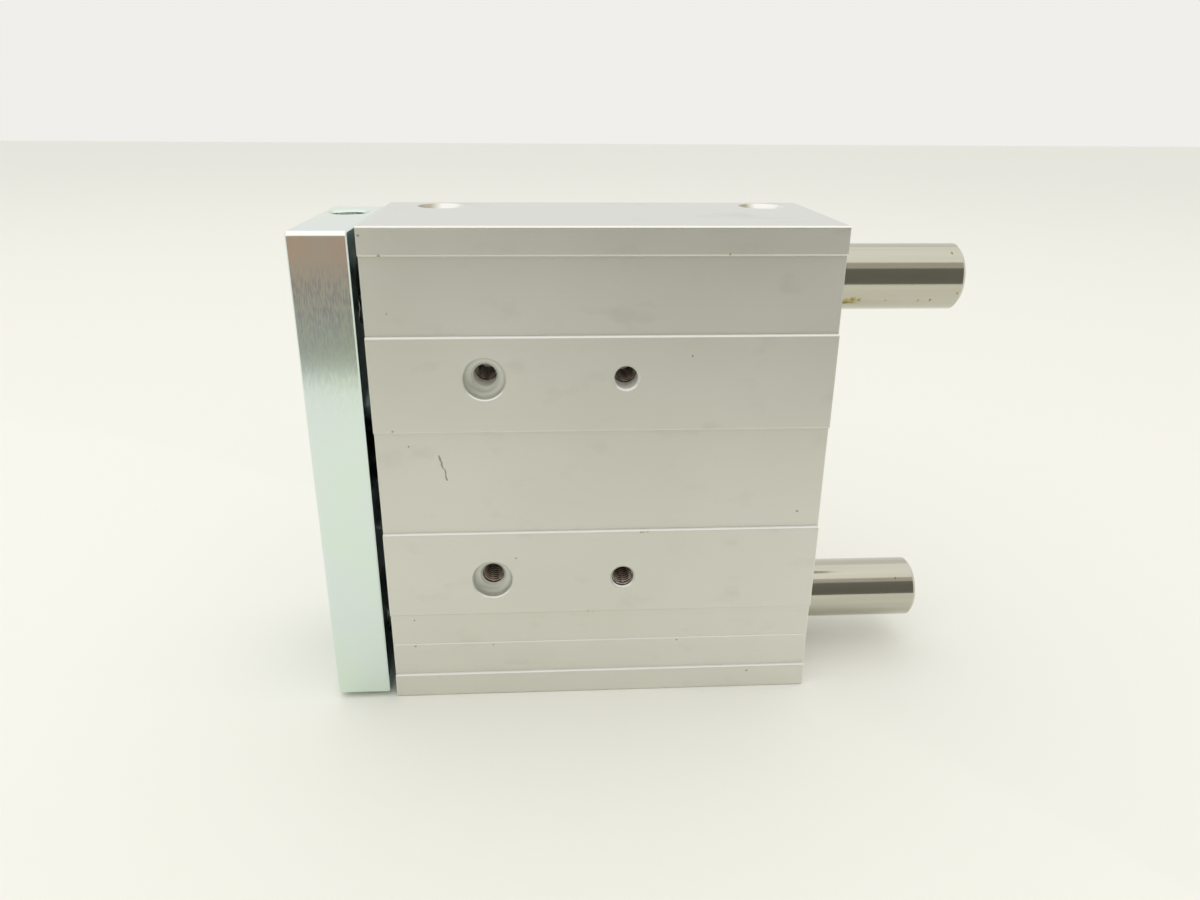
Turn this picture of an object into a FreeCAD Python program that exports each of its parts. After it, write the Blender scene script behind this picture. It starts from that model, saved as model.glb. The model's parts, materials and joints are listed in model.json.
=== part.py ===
# Guided pneumatic cylinder with a 50 mm bore: a piston in a rectangular aluminium body drives a
# steel yoke plate, and two guide rods in plain bushes keep the plate square.
# The document's frame: X runs along the stroke, the plate leads at -X and the guide rods' tails
# end at +X; -Y is the stepped mounting face; +Z is up. The origin lies under the middle of the
# assembly, on the surface that the body's lower narrow side rests on. Lengths are millimetres.

import FreeCAD
import Part
import os
import re
import Sketcher

sizes = {
    # body: the outside and the stepped mounting face
    "bodyHeight": 148,
    "bodyDepth": 60,
    "faceStep": 1,
    "edgeStrip": 8,
    "padInner": 16,
    "padOuter": 44.2,
    "cornerRound": 0.8,
    "ledgeRound": 0.6,
    "indexWidth": 0.5,
    "indexDepth": 0.25,
    # bore and travel
    "boreDiameter": 50,
    "stroke": 80,
    "stopGap": 0.1,
    "mouthChamfer": 0.8,
    # retaining rings of the bore
    "ringInset": 2,
    "ringThickness": 2,
    "ringDepth": 1.5,
    "ringWidth": 3.6,
    "ringPlay": 0.08,
    "ringGap": 11,
    "lugWidth": 5,
    "lugReach": 4,
    "lugHole": 2.5,
    # caps in the bore
    "frontCapLength": 10.4,
    "rearCapLength": 6.6,
    "noseLength": 4.5,
    "noseRadius": 21,
    "fitPlay": 0.02,
    "cordRadius": 1.15,
    "cordGrooveWidth": 2.8,
    "bumperThickness": 2.1,
    "bumperSeat": 1,
    "bumperInner": 14.5,
    "bumperOuter": 19,
    # piston rod and what seals and guides it
    "pistonRodDiameter": 20,
    "runningPlay": 0.04,
    "landPlay": 0.4,
    "wiperDepth": 3,
    "capLand": 1,
    "rodSealWidth": 4.4,
    "rodSealRadius": 14,
    "rodBushWall": 1.5,
    # piston
    "pistonPlay": 0.35,
    "pistonLand": 1.2,
    "pistonRib": 1.4,
    "magnetWidth": 3,
    "magnetFloor": 21,
    "magnetTop": 24.2,
    "sealWidth": 4.2,
    "sealFloor": 20.6,
    "wearWidth": 3.2,
    "wearThickness": 1.6,
    "wearGap": 1.5,
    "spigotDiameter": 14,
    "spigotLength": 5,
    "pistonScrewDiameter": 8,
    "pistonScrewReach": 14,
    # guide rods and their bushes
    "guidePitch": 110,
    "guideRodDiameter": 20,
    "guideBushWall": 2,
    "guideRingInset": 1.4,
    "guideRingThickness": 1.2,
    "guideRingDepth": 0.65,
    "guideRingWidth": 1.5,
    "guideRingGap": 3,
    "guideWiperLength": 4.4,
    "bushLength": 25,
    "spacerLength": 28,
    "spacerPlay": 0.8,
    "tailLength": 43.8,
    "tailPlay": 1,
    "rodChamfer": 1,
    "centreDrill": 2.5,
    # yoke plate
    "plateThickness": 16,
    "plateHeight": 145.4,
    "plateDepth": 60,
    "plateEndChamfer": 1,
    "plateEdgeChamfer": 0.4,
    "plateGap": 2.2,
    "rodSeat": 1.5,
    "plateScrewDiameter": 10,
    "plateScrewReach": 18,
    "screwSlack": 0.25,
    "headSlack": 0.75,
    "tapSpare": 3,
    "payloadSpacingY": 40,
    "payloadSpacingZ": 100,
    "sideTapOffset": 13.4,
    "sideTapRadius": 5.9,
    "sideTapMouth": 6.6,
    "sideTapDepth": 11,
    # mounting holes of the body
    "tapRadius": 3.4,
    "tapMouth": 3.95,
    "mountInset": 32,
    "mountSpacingX": 40,
    "mountSpacingZ": 64,
    "counterRadius": 6,
    "counterDepth": 3.7,
    "counterRound": 1.9,
    "counterMouth": 6.35,
    "rearSpacingY": 20,
    "rearSpacingZ": 64,
    "rearTapDepth": 16,
    # ports
    "portLead": 2.8,
    "portOffset": 19,
    "portRadius": 5.9,
    "portMouth": 7.35,
    "portDepth": 12,
    "channelRadius": 2.5,
    "channelReach": 12,
    "sideChannelRadius": 2,
    "sidePortHeight": 26,
    "plugRecess": 1,
    "plugLength": 8,
    # sensor grooves
    "slotRadius": 2,
    "slotMouth": 2.9,
    "slotDepth": 2.4,
    "slotHeight": 14,
}

# what follows from the sizes above; lengths along X are measured from the body's front end face
derived = {
    "boreRadius": "boreDiameter / 2",
    "pistonRodRadius": "pistonRodDiameter / 2",
    "guideRodRadius": "guideRodDiameter / 2",
    "midHeight": "bodyHeight / 2",
    "capSeat": "ringInset + ringThickness",
    "bumperProud": "bumperThickness - bumperSeat",
    "frontNose": "capSeat + frontCapLength + noseLength",
    "rearNose": "capSeat + rearCapLength + noseLength",
    "pistonLength": "2 * pistonLand + 2 * pistonRib + magnetWidth + sealWidth + wearWidth",
    "pistonRest": "frontNose + bumperProud + stopGap + stroke",
    "bodyLength": "pistonRest + pistonLength + stopGap + bumperProud + rearNose",
    "overallLength": "plateThickness + plateGap + bodyLength + tailLength",
    "bodyFront": "plateThickness + plateGap - overallLength / 2",
    "plateFront": "-overallLength / 2",
    "plateBack": "plateFront + plateThickness",
    "ringGrooveRadius": "boreRadius + ringDepth",
    "guideBoreRadius": "guideRodRadius + guideBushWall",
    "guideWiperStart": "guideRingInset + guideRingThickness",
    "frontBushStart": "guideWiperStart + guideWiperLength",
    "spacerStart": "frontBushStart + bushLength",
    "rearBushStart": "spacerStart + spacerLength",
    "guideBoreDepth": "rearBushStart + bushLength",
    "guideLow": "midHeight - guidePitch / 2",
    "guideHigh": "midHeight + guidePitch / 2",
    "mountLow": "midHeight - mountSpacingZ / 2",
    "portFront": "capSeat + frontCapLength + portLead",
    "portRear": "bodyLength - capSeat - rearCapLength - portLead",
    "sidePortLevel": "midHeight + sidePortHeight",
    "sidePortFloor": "bodyDepth / 2 - plugRecess - plugLength",
    "plateScrewHead": "plateScrewDiameter",
    "plateWeb": "plateThickness - plateScrewHead - screwSlack - rodSeat",
    "pistonScrewHead": "pistonScrewDiameter",
    "pistonWeb": "pistonLength - spigotLength - pistonScrewHead - screwSlack",
    "rodBushRadius": "pistonRodRadius + rodBushWall",
    "rodSealStart": "wiperDepth + capLand",
    "rodBushStart": "rodSealStart + rodSealWidth + capLand",
    "cordFloor": "boreRadius - 2 * cordRadius - fitPlay",
}

document = FreeCAD.newDocument("GuidedCylinder")
sheet = document.addObject("Spreadsheet::Sheet", "Size")
for row, (alias, value) in enumerate(sizes.items(), start=1):
    sheet.set(f"A{row}", str(value))
    sheet.setAlias(f"A{row}", alias)
document.recompute()

# how a sketch numbers its axes, and the points of a line or a circle
horizontalAxis, verticalAxis = -1, -2
lineStart, lineEnd, circleCentre = range(1, 4)
# lengths that differ by less than this are taken as equal
tolerance = 0.001
parts = []


def bound(text):
    # the same formula with every size's name turned into a reference to its cell
    def reference(match):
        word = match.group()
        if word in derived:
            return f"({bound(derived[word])})"
        return f"Size.{word}" if word in sizes else word

    return re.sub(r"[A-Za-z]\w*", reference, text)


def amount(text):
    return float(sheet.evalExpression(bound(text)))


def keep(part, x="0", y="0", z="0"):
    # places a finished sub-part and lists it for writing
    for axis, text in zip("xyz", (x, y, z)):
        part.setExpression(f"Placement.Base.{axis}", bound(text))
    parts.append(part)
    return part


def newBody(name):
    body = document.addObject("PartDesign::Body", name)
    body.Label = name
    return body


def originFeature(body, role):
    return next(item for item in body.Origin.OriginFeatures if item.Role == role)


def newSketch(body, name, plane, offset=("0", "0", "0")):
    sketch = body.newObject("Sketcher::SketchObject", name)
    sketch.AttachmentSupport = [(originFeature(body, plane), "")]
    sketch.MapMode = "FlatFace"
    for axis, text in zip("xyz", offset):
        sketch.setExpression(f"AttachmentOffset.Base.{axis}", bound(text))
    return sketch


def dimension(sketch, kind, first, corner, text, name):
    # ties one coordinate of a corner, or a radius, to the sheet
    value = amount(text)
    if kind == "Radius":
        index = sketch.addConstraint(Sketcher.Constraint(kind, first, value))
    elif text == "0":
        axis = verticalAxis if kind == "DistanceX" else horizontalAxis
        sketch.addConstraint(Sketcher.Constraint("PointOnObject", first, corner, axis))
        return
    else:
        ends = (horizontalAxis, lineStart, first, corner)
        index = sketch.addConstraint(Sketcher.Constraint(kind, *ends, value))
    sketch.renameConstraint(index, name)
    sketch.setExpression(f"Constraints.{name}", bound(text))


def drawOutline(sketch, points):
    # a closed outline of straight lines; a coordinate repeated from the last corner makes the
    # line between them square to the axes
    first = sketch.GeometryCount
    corners = [FreeCAD.Vector(amount(x), amount(y), 0) for x, y in points]
    count = len(corners)
    for index in range(count):
        line = Part.LineSegment(corners[index], corners[(index + 1) % count])
        sketch.addGeometry(line, False)
    for index in range(count):
        here = first + index
        following = first + (index + 1) % count
        joined = Sketcher.Constraint("Coincident", here, lineEnd, following, lineStart)
        sketch.addConstraint(joined)
    for index, (x, y) in enumerate(points):
        here = first + index
        before = points[index - 1] if index else (None, None)
        if x == before[0]:
            sketch.addConstraint(Sketcher.Constraint("Vertical", here - 1))
        else:
            dimension(sketch, "DistanceX", here, lineStart, x, f"across{here}")
        if y == before[1]:
            sketch.addConstraint(Sketcher.Constraint("Horizontal", here - 1))
        else:
            dimension(sketch, "DistanceY", here, lineStart, y, f"along{here}")


def drawCircle(sketch, x, y, radius):
    index = sketch.GeometryCount
    centre = FreeCAD.Vector(amount(x), amount(y), 0)
    circle = Part.Circle(centre, FreeCAD.Vector(0, 0, 1), amount(radius))
    sketch.addGeometry(circle, False)
    dimension(sketch, "DistanceX", index, circleCentre, x, f"across{index}")
    dimension(sketch, "DistanceY", index, circleCentre, y, f"along{index}")
    dimension(sketch, "Radius", index, 0, radius, f"radius{index}")


def turned(body, kind, name, sketch, axis="H_Axis"):
    feature = body.newObject(kind, name)
    feature.Profile = sketch
    feature.ReferenceAxis = (sketch, [axis])
    feature.Angle = 360
    body.Tip = feature
    document.recompute()
    return feature


def turnedBody(name, outline):
    # a round piece: its half section, as corners (X, radius), turned about the X axis
    body = newBody(name)
    sketch = newSketch(body, f"{name}_section", "XZ_Plane")
    drawOutline(sketch, outline)
    turned(body, "PartDesign::Revolution", f"{name}_turned", sketch)
    return body


def boredAlongX(body, name, y, z, outline):
    # a turned cut about a line along X; outline corners are (X, radius)
    sketch = newSketch(body, f"{name}_section", "XZ_Plane", ("0", z, f"-({y})"))
    drawOutline(sketch, outline)
    return turned(body, "PartDesign::Groove", name, sketch)


def boredAlongY(body, name, x, z, outline):
    # a turned cut about a line along Y; outline corners are (radius, Y)
    sketch = newSketch(body, f"{name}_section", "XY_Plane", (x, "0", z))
    drawOutline(sketch, outline)
    return turned(body, "PartDesign::Groove", name, sketch, "V_Axis")


def boredAlongZ(body, name, x, y, outline):
    # a turned cut about a line along Z; outline corners are (radius, Z)
    sketch = newSketch(body, f"{name}_section", "XZ_Plane", (x, "0", f"-({y})"))
    drawOutline(sketch, outline)
    return turned(body, "PartDesign::Groove", name, sketch, "V_Axis")


def extruded(body, kind, name, sketch, length, reverse=False):
    feature = body.newObject(kind, name)
    feature.Profile = sketch
    feature.setExpression("Length", bound(length))
    feature.Reversed = reverse
    body.Tip = feature
    document.recompute()
    return feature


def repeated(body, feature, axis, length):
    # one more copy of a feature, a length away along an origin axis
    pattern = body.newObject("PartDesign::LinearPattern", f"{feature.Name}_row")
    pattern.Originals = [feature]
    pattern.Direction = (originFeature(body, f"{axis}_Axis"), [""])
    pattern.setExpression("Length", bound(length))
    pattern.Occurrences = 2
    body.Tip = pattern
    document.recompute()
    return pattern


def repeatedGrid(body, feature, spans):
    # four copies of a feature on a rectangle; spans are (axis, length) for its two sides
    pattern = body.newObject("PartDesign::LinearPattern", f"{feature.Name}_grid")
    pattern.Originals = [feature]
    for end, (axis, length) in zip(("", "2"), spans):
        setattr(pattern, f"Direction{end}", (originFeature(body, f"{axis}_Axis"), [""]))
        pattern.setExpression(f"Length{end}", bound(length))
        setattr(pattern, f"Occurrences{end}", 2)
    body.Tip = pattern
    document.recompute()
    return pattern


def softened(body, kind, name, size, chosen):
    # rounds or chamfers the edges that chosen(edge) picks
    base = body.Tip
    feature = body.newObject(kind, name)
    edges = base.Shape.Edges
    feature.Base = (base, [f"Edge{n}" for n, edge in enumerate(edges, start=1) if chosen(edge)])
    feature.setExpression("Radius" if kind.endswith("Fillet") else "Size", bound(size))
    body.Tip = feature
    document.recompute()
    return feature


def near(value, text):
    return abs(value - amount(text)) < tolerance


def alongX(edge):
    return max(edge.BoundBox.YLength, edge.BoundBox.ZLength) < tolerance


def hexSocket(body, name, mouth, flats, depth):
    # a hexagonal socket cut from the plane X = mouth towards +X
    offset = ("0", "0", mouth)
    sketch = newSketch(body, f"{name}_hexagon", "YZ_Plane", offset)
    reach = f"({flats}) / sqrt(3)"
    half = f"({flats}) / 2"
    points = [
        (reach, "0"),
        (f"{reach} / 2", half),
        (f"-{reach} / 2", half),
        (f"-{reach}", "0"),
        (f"-{reach} / 2", f"-{half}"),
        (f"{reach} / 2", f"-{half}"),
    ]
    drawOutline(sketch, points)
    return extruded(body, "PartDesign::Pocket", name, sketch, depth, reverse=True)


def tube(start, end, inner, outer, chamfer):
    # half section of a tube with chamfered rims
    return [
        (f"{start} + {chamfer}", inner),
        (start, f"{inner} + {chamfer}"),
        (start, f"{outer} - {chamfer}"),
        (f"{start} + {chamfer}", outer),
        (f"{end} - {chamfer}", outer),
        (end, f"{outer} - {chamfer}"),
        (end, f"{inner} + {chamfer}"),
        (f"{end} - {chamfer}", inner),
    ]


def bodyBlank(body):
    # the extrusion: a rectangle with steps on its -Y side, drawn across the stroke, and a shallow
    # V line level with the lower guide rod
    sketch = newSketch(body, "extrusion", "YZ_Plane")
    raised = "-bodyDepth / 2"
    sunk = "-bodyDepth / 2 + faceStep"
    points = [("bodyDepth / 2", "0"), ("bodyDepth / 2", "bodyHeight"), (raised, "bodyHeight")]
    steps = [
        ("bodyHeight - edgeStrip", raised, sunk),
        ("midHeight + padOuter", sunk, raised),
        ("midHeight + padInner", raised, sunk),
        ("midHeight - padInner", sunk, raised),
        ("midHeight - padOuter", raised, sunk),
        ("edgeStrip", sunk, raised),
    ]
    indexLevel = "midHeight - guidePitch / 2"
    for level, above, below in steps:
        if level == "edgeStrip":
            points += [
                (sunk, f"{indexLevel} + indexWidth / 2"),
                (f"{sunk} + indexDepth", indexLevel),
                (sunk, f"{indexLevel} - indexWidth / 2"),
            ]
        points += [(above, level), (below, level)]
    points.append((raised, "0"))
    drawOutline(sketch, points)
    extruded(body, "PartDesign::Pad", "extruded_body", sketch, "bodyLength")

    def corner(edge):
        low = near(edge.BoundBox.ZMin, "0")
        return alongX(edge) and (low or near(edge.BoundBox.ZMin, "bodyHeight"))

    def ledge(edge):
        level = edge.BoundBox.ZMin
        inside = amount("cornerRound") * 2 < level < amount("bodyHeight - 2 * cornerRound")
        return alongX(edge) and inside and near(edge.BoundBox.YMin, "-bodyDepth / 2")

    softened(body, "PartDesign::Fillet", "corner_rounds", "cornerRound", corner)
    softened(body, "PartDesign::Fillet", "ledge_rounds", "ledgeRound", ledge)


def bodyBores(body):
    # the cylinder bore with its two ring grooves, and the stepped bores for the guide rods
    groove = "ringThickness + ringPlay"
    rear = "bodyLength"
    outline = [
        ("0", "0"),
        ("0", "boreRadius + mouthChamfer"),
        ("mouthChamfer", "boreRadius"),
        ("ringInset - ringPlay", "boreRadius"),
        ("ringInset - ringPlay", "ringGrooveRadius"),
        (f"ringInset - ringPlay + {groove}", "ringGrooveRadius"),
        (f"ringInset - ringPlay + {groove}", "boreRadius"),
        (f"{rear} - ringInset + ringPlay - ({groove})", "boreRadius"),
        (f"{rear} - ringInset + ringPlay - ({groove})", "ringGrooveRadius"),
        (f"{rear} - ringInset + ringPlay", "ringGrooveRadius"),
        (f"{rear} - ringInset + ringPlay", "boreRadius"),
        (f"{rear} - mouthChamfer", "boreRadius"),
        (rear, "boreRadius + mouthChamfer"),
        (rear, "0"),
    ]
    boredAlongX(body, "cylinder_bore", "0", "midHeight", outline)
    ringStart = "guideRingInset - ringPlay"
    ringEnd = "guideRingInset + guideRingThickness"
    outline = [
        ("0", "0"),
        ("0", "guideBoreRadius + mouthChamfer"),
        ("mouthChamfer", "guideBoreRadius"),
        (ringStart, "guideBoreRadius"),
        (ringStart, "guideBoreRadius + guideRingDepth"),
        (ringEnd, "guideBoreRadius + guideRingDepth"),
        (ringEnd, "guideBoreRadius"),
        ("guideBoreDepth", "guideBoreRadius"),
        ("guideBoreDepth", "guideRodRadius + tailPlay"),
        (f"{rear} - mouthChamfer", "guideRodRadius + tailPlay"),
        (rear, "guideRodRadius + tailPlay + mouthChamfer"),
        (rear, "0"),
    ]
    guideBore = boredAlongX(body, "guide_bore", "0", "guideLow", outline)
    repeated(body, guideBore, "Z", "guidePitch")


def bodyMountingHoles(body):
    # four through holes between the bore and the guide rods, threaded from the -Y face; the pair
    # nearer the plate has a counterbore with a rounded floor for a locating sleeve
    face = "-bodyDepth / 2"
    back = "bodyDepth / 2"
    floor = f"{face} + counterDepth"
    chamfer = "tapMouth - tapRadius"
    outline = [
        ("0", face),
        ("counterMouth", face),
        ("counterRadius", f"{face} + counterMouth - counterRadius"),
        ("counterRadius", floor),
        ("tapMouth", floor),
        ("tapRadius", f"{floor} + {chamfer}"),
        ("tapRadius", f"{back} - ({chamfer})"),
        ("tapMouth", back),
        ("0", back),
    ]
    hole = boredAlongY(body, "counterbored_hole", "mountInset", "mountLow", outline)
    repeated(body, hole, "Z", "mountSpacingZ")

    def counterFloor(edge):
        box = edge.BoundBox
        wide = near(box.XLength, "2 * counterRadius")
        return wide and near(box.YMin, floor) and near(box.YMax, floor)

    softened(body, "PartDesign::Fillet", "counterbore_floor", "counterRound", counterFloor)
    outline = [
        ("0", face),
        ("tapMouth", face),
        ("tapRadius", f"{face} + {chamfer}"),
        ("tapRadius", f"{back} - ({chamfer})"),
        ("tapMouth", back),
        ("0", back),
    ]
    hole = boredAlongY(body, "tapped_hole", "mountInset + mountSpacingX", "mountLow", outline)
    repeated(body, hole, "Z", "mountSpacingZ")


def bodyPorts(body):
    # each port drops from the top to the bore wall, where it meets the gap beside a cap's nose;
    # a plugged side port from the +Y face joins the same channel
    mouth = "bodyHeight"
    chamfer = "portMouth - portRadius"
    outline = [
        ("0", mouth),
        ("portMouth", mouth),
        ("portRadius", f"{mouth} - ({chamfer})"),
        ("portRadius", f"{mouth} - portDepth"),
        ("channelRadius", f"{mouth} - portDepth - portRadius + channelRadius"),
        ("channelRadius", "midHeight + channelReach"),
        ("0", "midHeight + channelReach"),
    ]
    port = boredAlongZ(body, "port", "portFront", "portOffset", outline)
    repeated(body, port, "X", "portRear - (portFront)")
    side = "bodyDepth / 2"
    outline = [
        ("0", side),
        ("portMouth", side),
        ("portRadius", f"{side} - ({chamfer})"),
        ("portRadius", "sidePortFloor"),
        ("sideChannelRadius", "sidePortFloor"),
        ("sideChannelRadius", "portOffset"),
        ("0", "portOffset"),
    ]
    sidePort = boredAlongY(body, "side_port", "portFront", "sidePortLevel", outline)
    repeated(body, sidePort, "X", "portRear - (portFront)")


def bodyRearTaps(body):
    # tapped holes in the rear end face, where a stand or bracket bolts on
    outline = [
        ("bodyLength", "0"),
        ("bodyLength", "tapMouth"),
        ("bodyLength - tapMouth + tapRadius", "tapRadius"),
        ("bodyLength - rearTapDepth", "tapRadius"),
        ("bodyLength - rearTapDepth - tapRadius / 2", "0"),
    ]
    low = "midHeight - rearSpacingZ / 2"
    hole = boredAlongX(body, "rear_tap", "-rearSpacingY / 2", low, outline)
    repeatedGrid(body, hole, [("Y", "rearSpacingY"), ("Z", "rearSpacingZ")])


def bodySensorGrooves(body):
    # two undercut grooves along the +Y face, beside the bore, for position sensors
    sketch = newSketch(body, "sensor_groove_round", "YZ_Plane")
    centre = "bodyDepth / 2 - slotDepth"
    for side in ("-", "+"):
        drawCircle(sketch, centre, f"midHeight {side} slotHeight", "slotRadius")
    extruded(body, "PartDesign::Pocket", "sensor_groove", sketch, "bodyLength", reverse=True)
    sketch = newSketch(body, "sensor_groove_slit", "YZ_Plane")
    for side in ("-", "+"):
        level = f"midHeight {side} slotHeight"
        low = f"{level} - slotMouth / 2"
        high = f"{level} + slotMouth / 2"
        corners = [
            (centre, low),
            ("bodyDepth / 2", low),
            ("bodyDepth / 2", high),
            (centre, high),
        ]
        drawOutline(sketch, corners)
    extruded(body, "PartDesign::Pocket", "sensor_slit", sketch, "bodyLength", reverse=True)


def cylinderBody():
    body = newBody("cylinder_body")
    bodyBlank(body)
    bodyBores(body)
    bodyMountingHoles(body)
    bodyPorts(body)
    bodyRearTaps(body)
    bodySensorGrooves(body)
    return keep(body, x="bodyFront")


def cordGroove(start, end):
    # the two corners of an O-ring groove's floor and its two shoulders, in a cap's rim
    rim = "boreRadius - fitPlay"
    return [(start, rim), (start, "cordFloor"), (end, "cordFloor"), (end, rim)]


def bearingCap():
    # the front cap: it carries the rod's wiper, seal and bush, and its nose leaves the port open
    bottom = "frontCapLength + noseLength"
    land = "pistonRodRadius + landPlay"
    middle = "frontCapLength / 2"
    outline = [
        ("0", "rodSealRadius"),
        ("0", "boreRadius - fitPlay"),
        *cordGroove(f"{middle} - cordGrooveWidth / 2", f"{middle} + cordGrooveWidth / 2"),
        ("frontCapLength", "boreRadius - fitPlay"),
        ("frontCapLength", "noseRadius"),
        (bottom, "noseRadius"),
        (bottom, "bumperOuter"),
        (f"{bottom} - bumperSeat", "bumperOuter"),
        (f"{bottom} - bumperSeat", "bumperInner"),
        (bottom, "bumperInner"),
        (bottom, "rodBushRadius"),
        ("rodBushStart", "rodBushRadius"),
        ("rodBushStart", land),
        ("rodSealStart + rodSealWidth", land),
        ("rodSealStart + rodSealWidth", "rodSealRadius"),
        ("rodSealStart", "rodSealRadius"),
        ("rodSealStart", land),
        ("wiperDepth", land),
        ("wiperDepth", "rodSealRadius"),
    ]
    body = turnedBody("bearing_cap", outline)
    return keep(body, x="bodyFront + capSeat", z="midHeight")


def endCap():
    # the rear cap, drawn from its nose to its outer face
    length = "noseLength + rearCapLength"
    middle = "noseLength + rearCapLength / 2"
    outline = [
        ("0", "0"),
        ("0", "bumperInner"),
        ("bumperSeat", "bumperInner"),
        ("bumperSeat", "bumperOuter"),
        ("0", "bumperOuter"),
        ("0", "noseRadius"),
        ("noseLength", "noseRadius"),
        ("noseLength", "boreRadius - fitPlay"),
        *cordGroove(f"{middle} - cordGrooveWidth / 2", f"{middle} + cordGrooveWidth / 2"),
        (length, "boreRadius - fitPlay"),
        (length, "0"),
    ]
    body = turnedBody("end_cap", outline)
    return keep(body, x="bodyFront + bodyLength - rearNose", z="midHeight")


def capSeal(name, middle):
    # an O-ring pressed between a cap's groove and the bore
    ring = document.addObject("Part::Torus", name)
    ring.Label = name
    ring.setExpression("Radius1", bound("boreRadius - cordRadius - fitPlay / 2"))
    ring.setExpression("Radius2", bound("cordRadius"))
    ring.Placement.Rotation = FreeCAD.Rotation(FreeCAD.Vector(0, 1, 0), 90)
    return keep(ring, x=f"bodyFront + {middle}", z="midHeight")


def bumper(name, start):
    # a rubber stop ring in the end of a cap's nose
    inner = "bumperInner + fitPlay"
    outer = "bumperOuter - fitPlay"
    body = turnedBody(name, tube("0", "bumperThickness", inner, outer, "landPlay"))
    return keep(body, x=f"bodyFront + {start}", z="midHeight")


def lugRing(name, start):
    # an internal retaining ring: an open ring in its groove, with two pierced lugs at the gap
    body = newBody(name)
    outer = "ringGrooveRadius - ringPlay"
    inner = "ringGrooveRadius - ringPlay - ringWidth"
    sketch = newSketch(body, f"{name}_circles", "YZ_Plane")
    drawCircle(sketch, "0", "0", outer)
    drawCircle(sketch, "0", "0", inner)
    extruded(body, "PartDesign::Pad", f"{name}_ring", sketch, "ringThickness")
    sketch = newSketch(body, f"{name}_gap", "YZ_Plane")
    half = "ringGap / 2"
    gap = [(f"-{half}", "0"), (half, "0"), (half, "boreDiameter"), (f"-{half}", "boreDiameter")]
    drawOutline(sketch, gap)
    thick = "ringThickness"
    extruded(body, "PartDesign::Pocket", f"{name}_opening", sketch, thick, reverse=True)
    lugs = newSketch(body, f"{name}_lug_outlines", "YZ_Plane")
    eyes = newSketch(body, f"{name}_eyes", "YZ_Plane")
    low = f"{inner} - lugReach"
    high = f"{inner} + ringWidth / 4"
    for sign in ("-", ""):
        near_side = f"{sign}{half}"
        far_side = f"{sign}({half} + lugWidth)"
        middle = f"{sign}({half} + lugWidth / 2)"
        drawOutline(lugs, [(near_side, low), (far_side, low), (far_side, high), (near_side, high)])
        drawCircle(eyes, middle, f"{low} + lugWidth / 2", "lugHole / 2")
    extruded(body, "PartDesign::Pad", f"{name}_lugs", lugs, "ringThickness")
    extruded(body, "PartDesign::Pocket", f"{name}_holes", eyes, "ringThickness", reverse=True)
    return keep(body, x=f"bodyFront + {start}", z="midHeight")


def rodBush():
    length = "frontCapLength + noseLength - rodBushStart"
    inner = "pistonRodRadius + runningPlay"
    body = turnedBody("rod_bush", tube("0", length, inner, "rodBushRadius - fitPlay", "landPlay"))
    return keep(body, x="bodyFront + capSeat + rodBushStart", z="midHeight")


def rodSeal():
    # a U-cup: its heel faces the front and its two lips face the pressure
    lip = "pistonRodRadius + runningPlay"
    rim = "rodSealRadius - fitPlay"
    middle = "(pistonRodRadius + rodSealRadius) / 2"
    length = "rodSealWidth"
    outline = [
        ("0", f"{lip} + landPlay"),
        ("0", f"{rim} - landPlay"),
        (f"{length} / 2", f"{rim} - landPlay"),
        (f"{length} - landPlay", rim),
        (length, f"{rim} - landPlay"),
        (f"{length} / 2", middle),
        (length, f"{lip} + landPlay"),
        (f"{length} - landPlay", lip),
        (f"{length} / 2", f"{lip} + landPlay"),
    ]
    body = turnedBody("rod_seal", outline)
    return keep(body, x="bodyFront + capSeat + rodSealStart", z="midHeight")


def wiper(name, start, level, length, rodRadius, rim):
    # a scraper ring whose lip leans out towards the plate
    lip = f"{rodRadius} + runningPlay"
    outline = [
        (f"{length} / 4", lip),
        ("0", f"{lip} + landPlay"),
        (f"{length} / 2", f"{lip} + 2 * landPlay"),
        (f"{length} / 2", f"({rodRadius} + {rim}) / 2"),
        ("0", f"({rodRadius} + {rim}) / 2 + landPlay"),
        ("0", f"{rim} - fitPlay"),
        (length, f"{rim} - fitPlay"),
        (length, f"{lip} + landPlay"),
    ]
    body = turnedBody(name, outline)
    return keep(body, x=f"bodyFront + {start}", z=level)


def guideRing(name, level):
    # a flat wound retaining ring without lugs, which leaves room for the guide rod
    body = newBody(name)
    outer = "guideBoreRadius + guideRingDepth - ringPlay"
    sketch = newSketch(body, f"{name}_circles", "YZ_Plane")
    drawCircle(sketch, "0", "0", outer)
    drawCircle(sketch, "0", "0", f"{outer} - guideRingWidth")
    extruded(body, "PartDesign::Pad", f"{name}_ring", sketch, "guideRingThickness")
    sketch = newSketch(body, f"{name}_gap", "YZ_Plane")
    half = "guideRingGap / 2"
    reach = "guideRodDiameter"
    drawOutline(sketch, [(f"-{half}", "0"), (half, "0"), (half, reach), (f"-{half}", reach)])
    thick = "guideRingThickness"
    extruded(body, "PartDesign::Pocket", f"{name}_opening", sketch, thick, reverse=True)
    return keep(body, x="bodyFront + guideRingInset", z=level)


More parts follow.
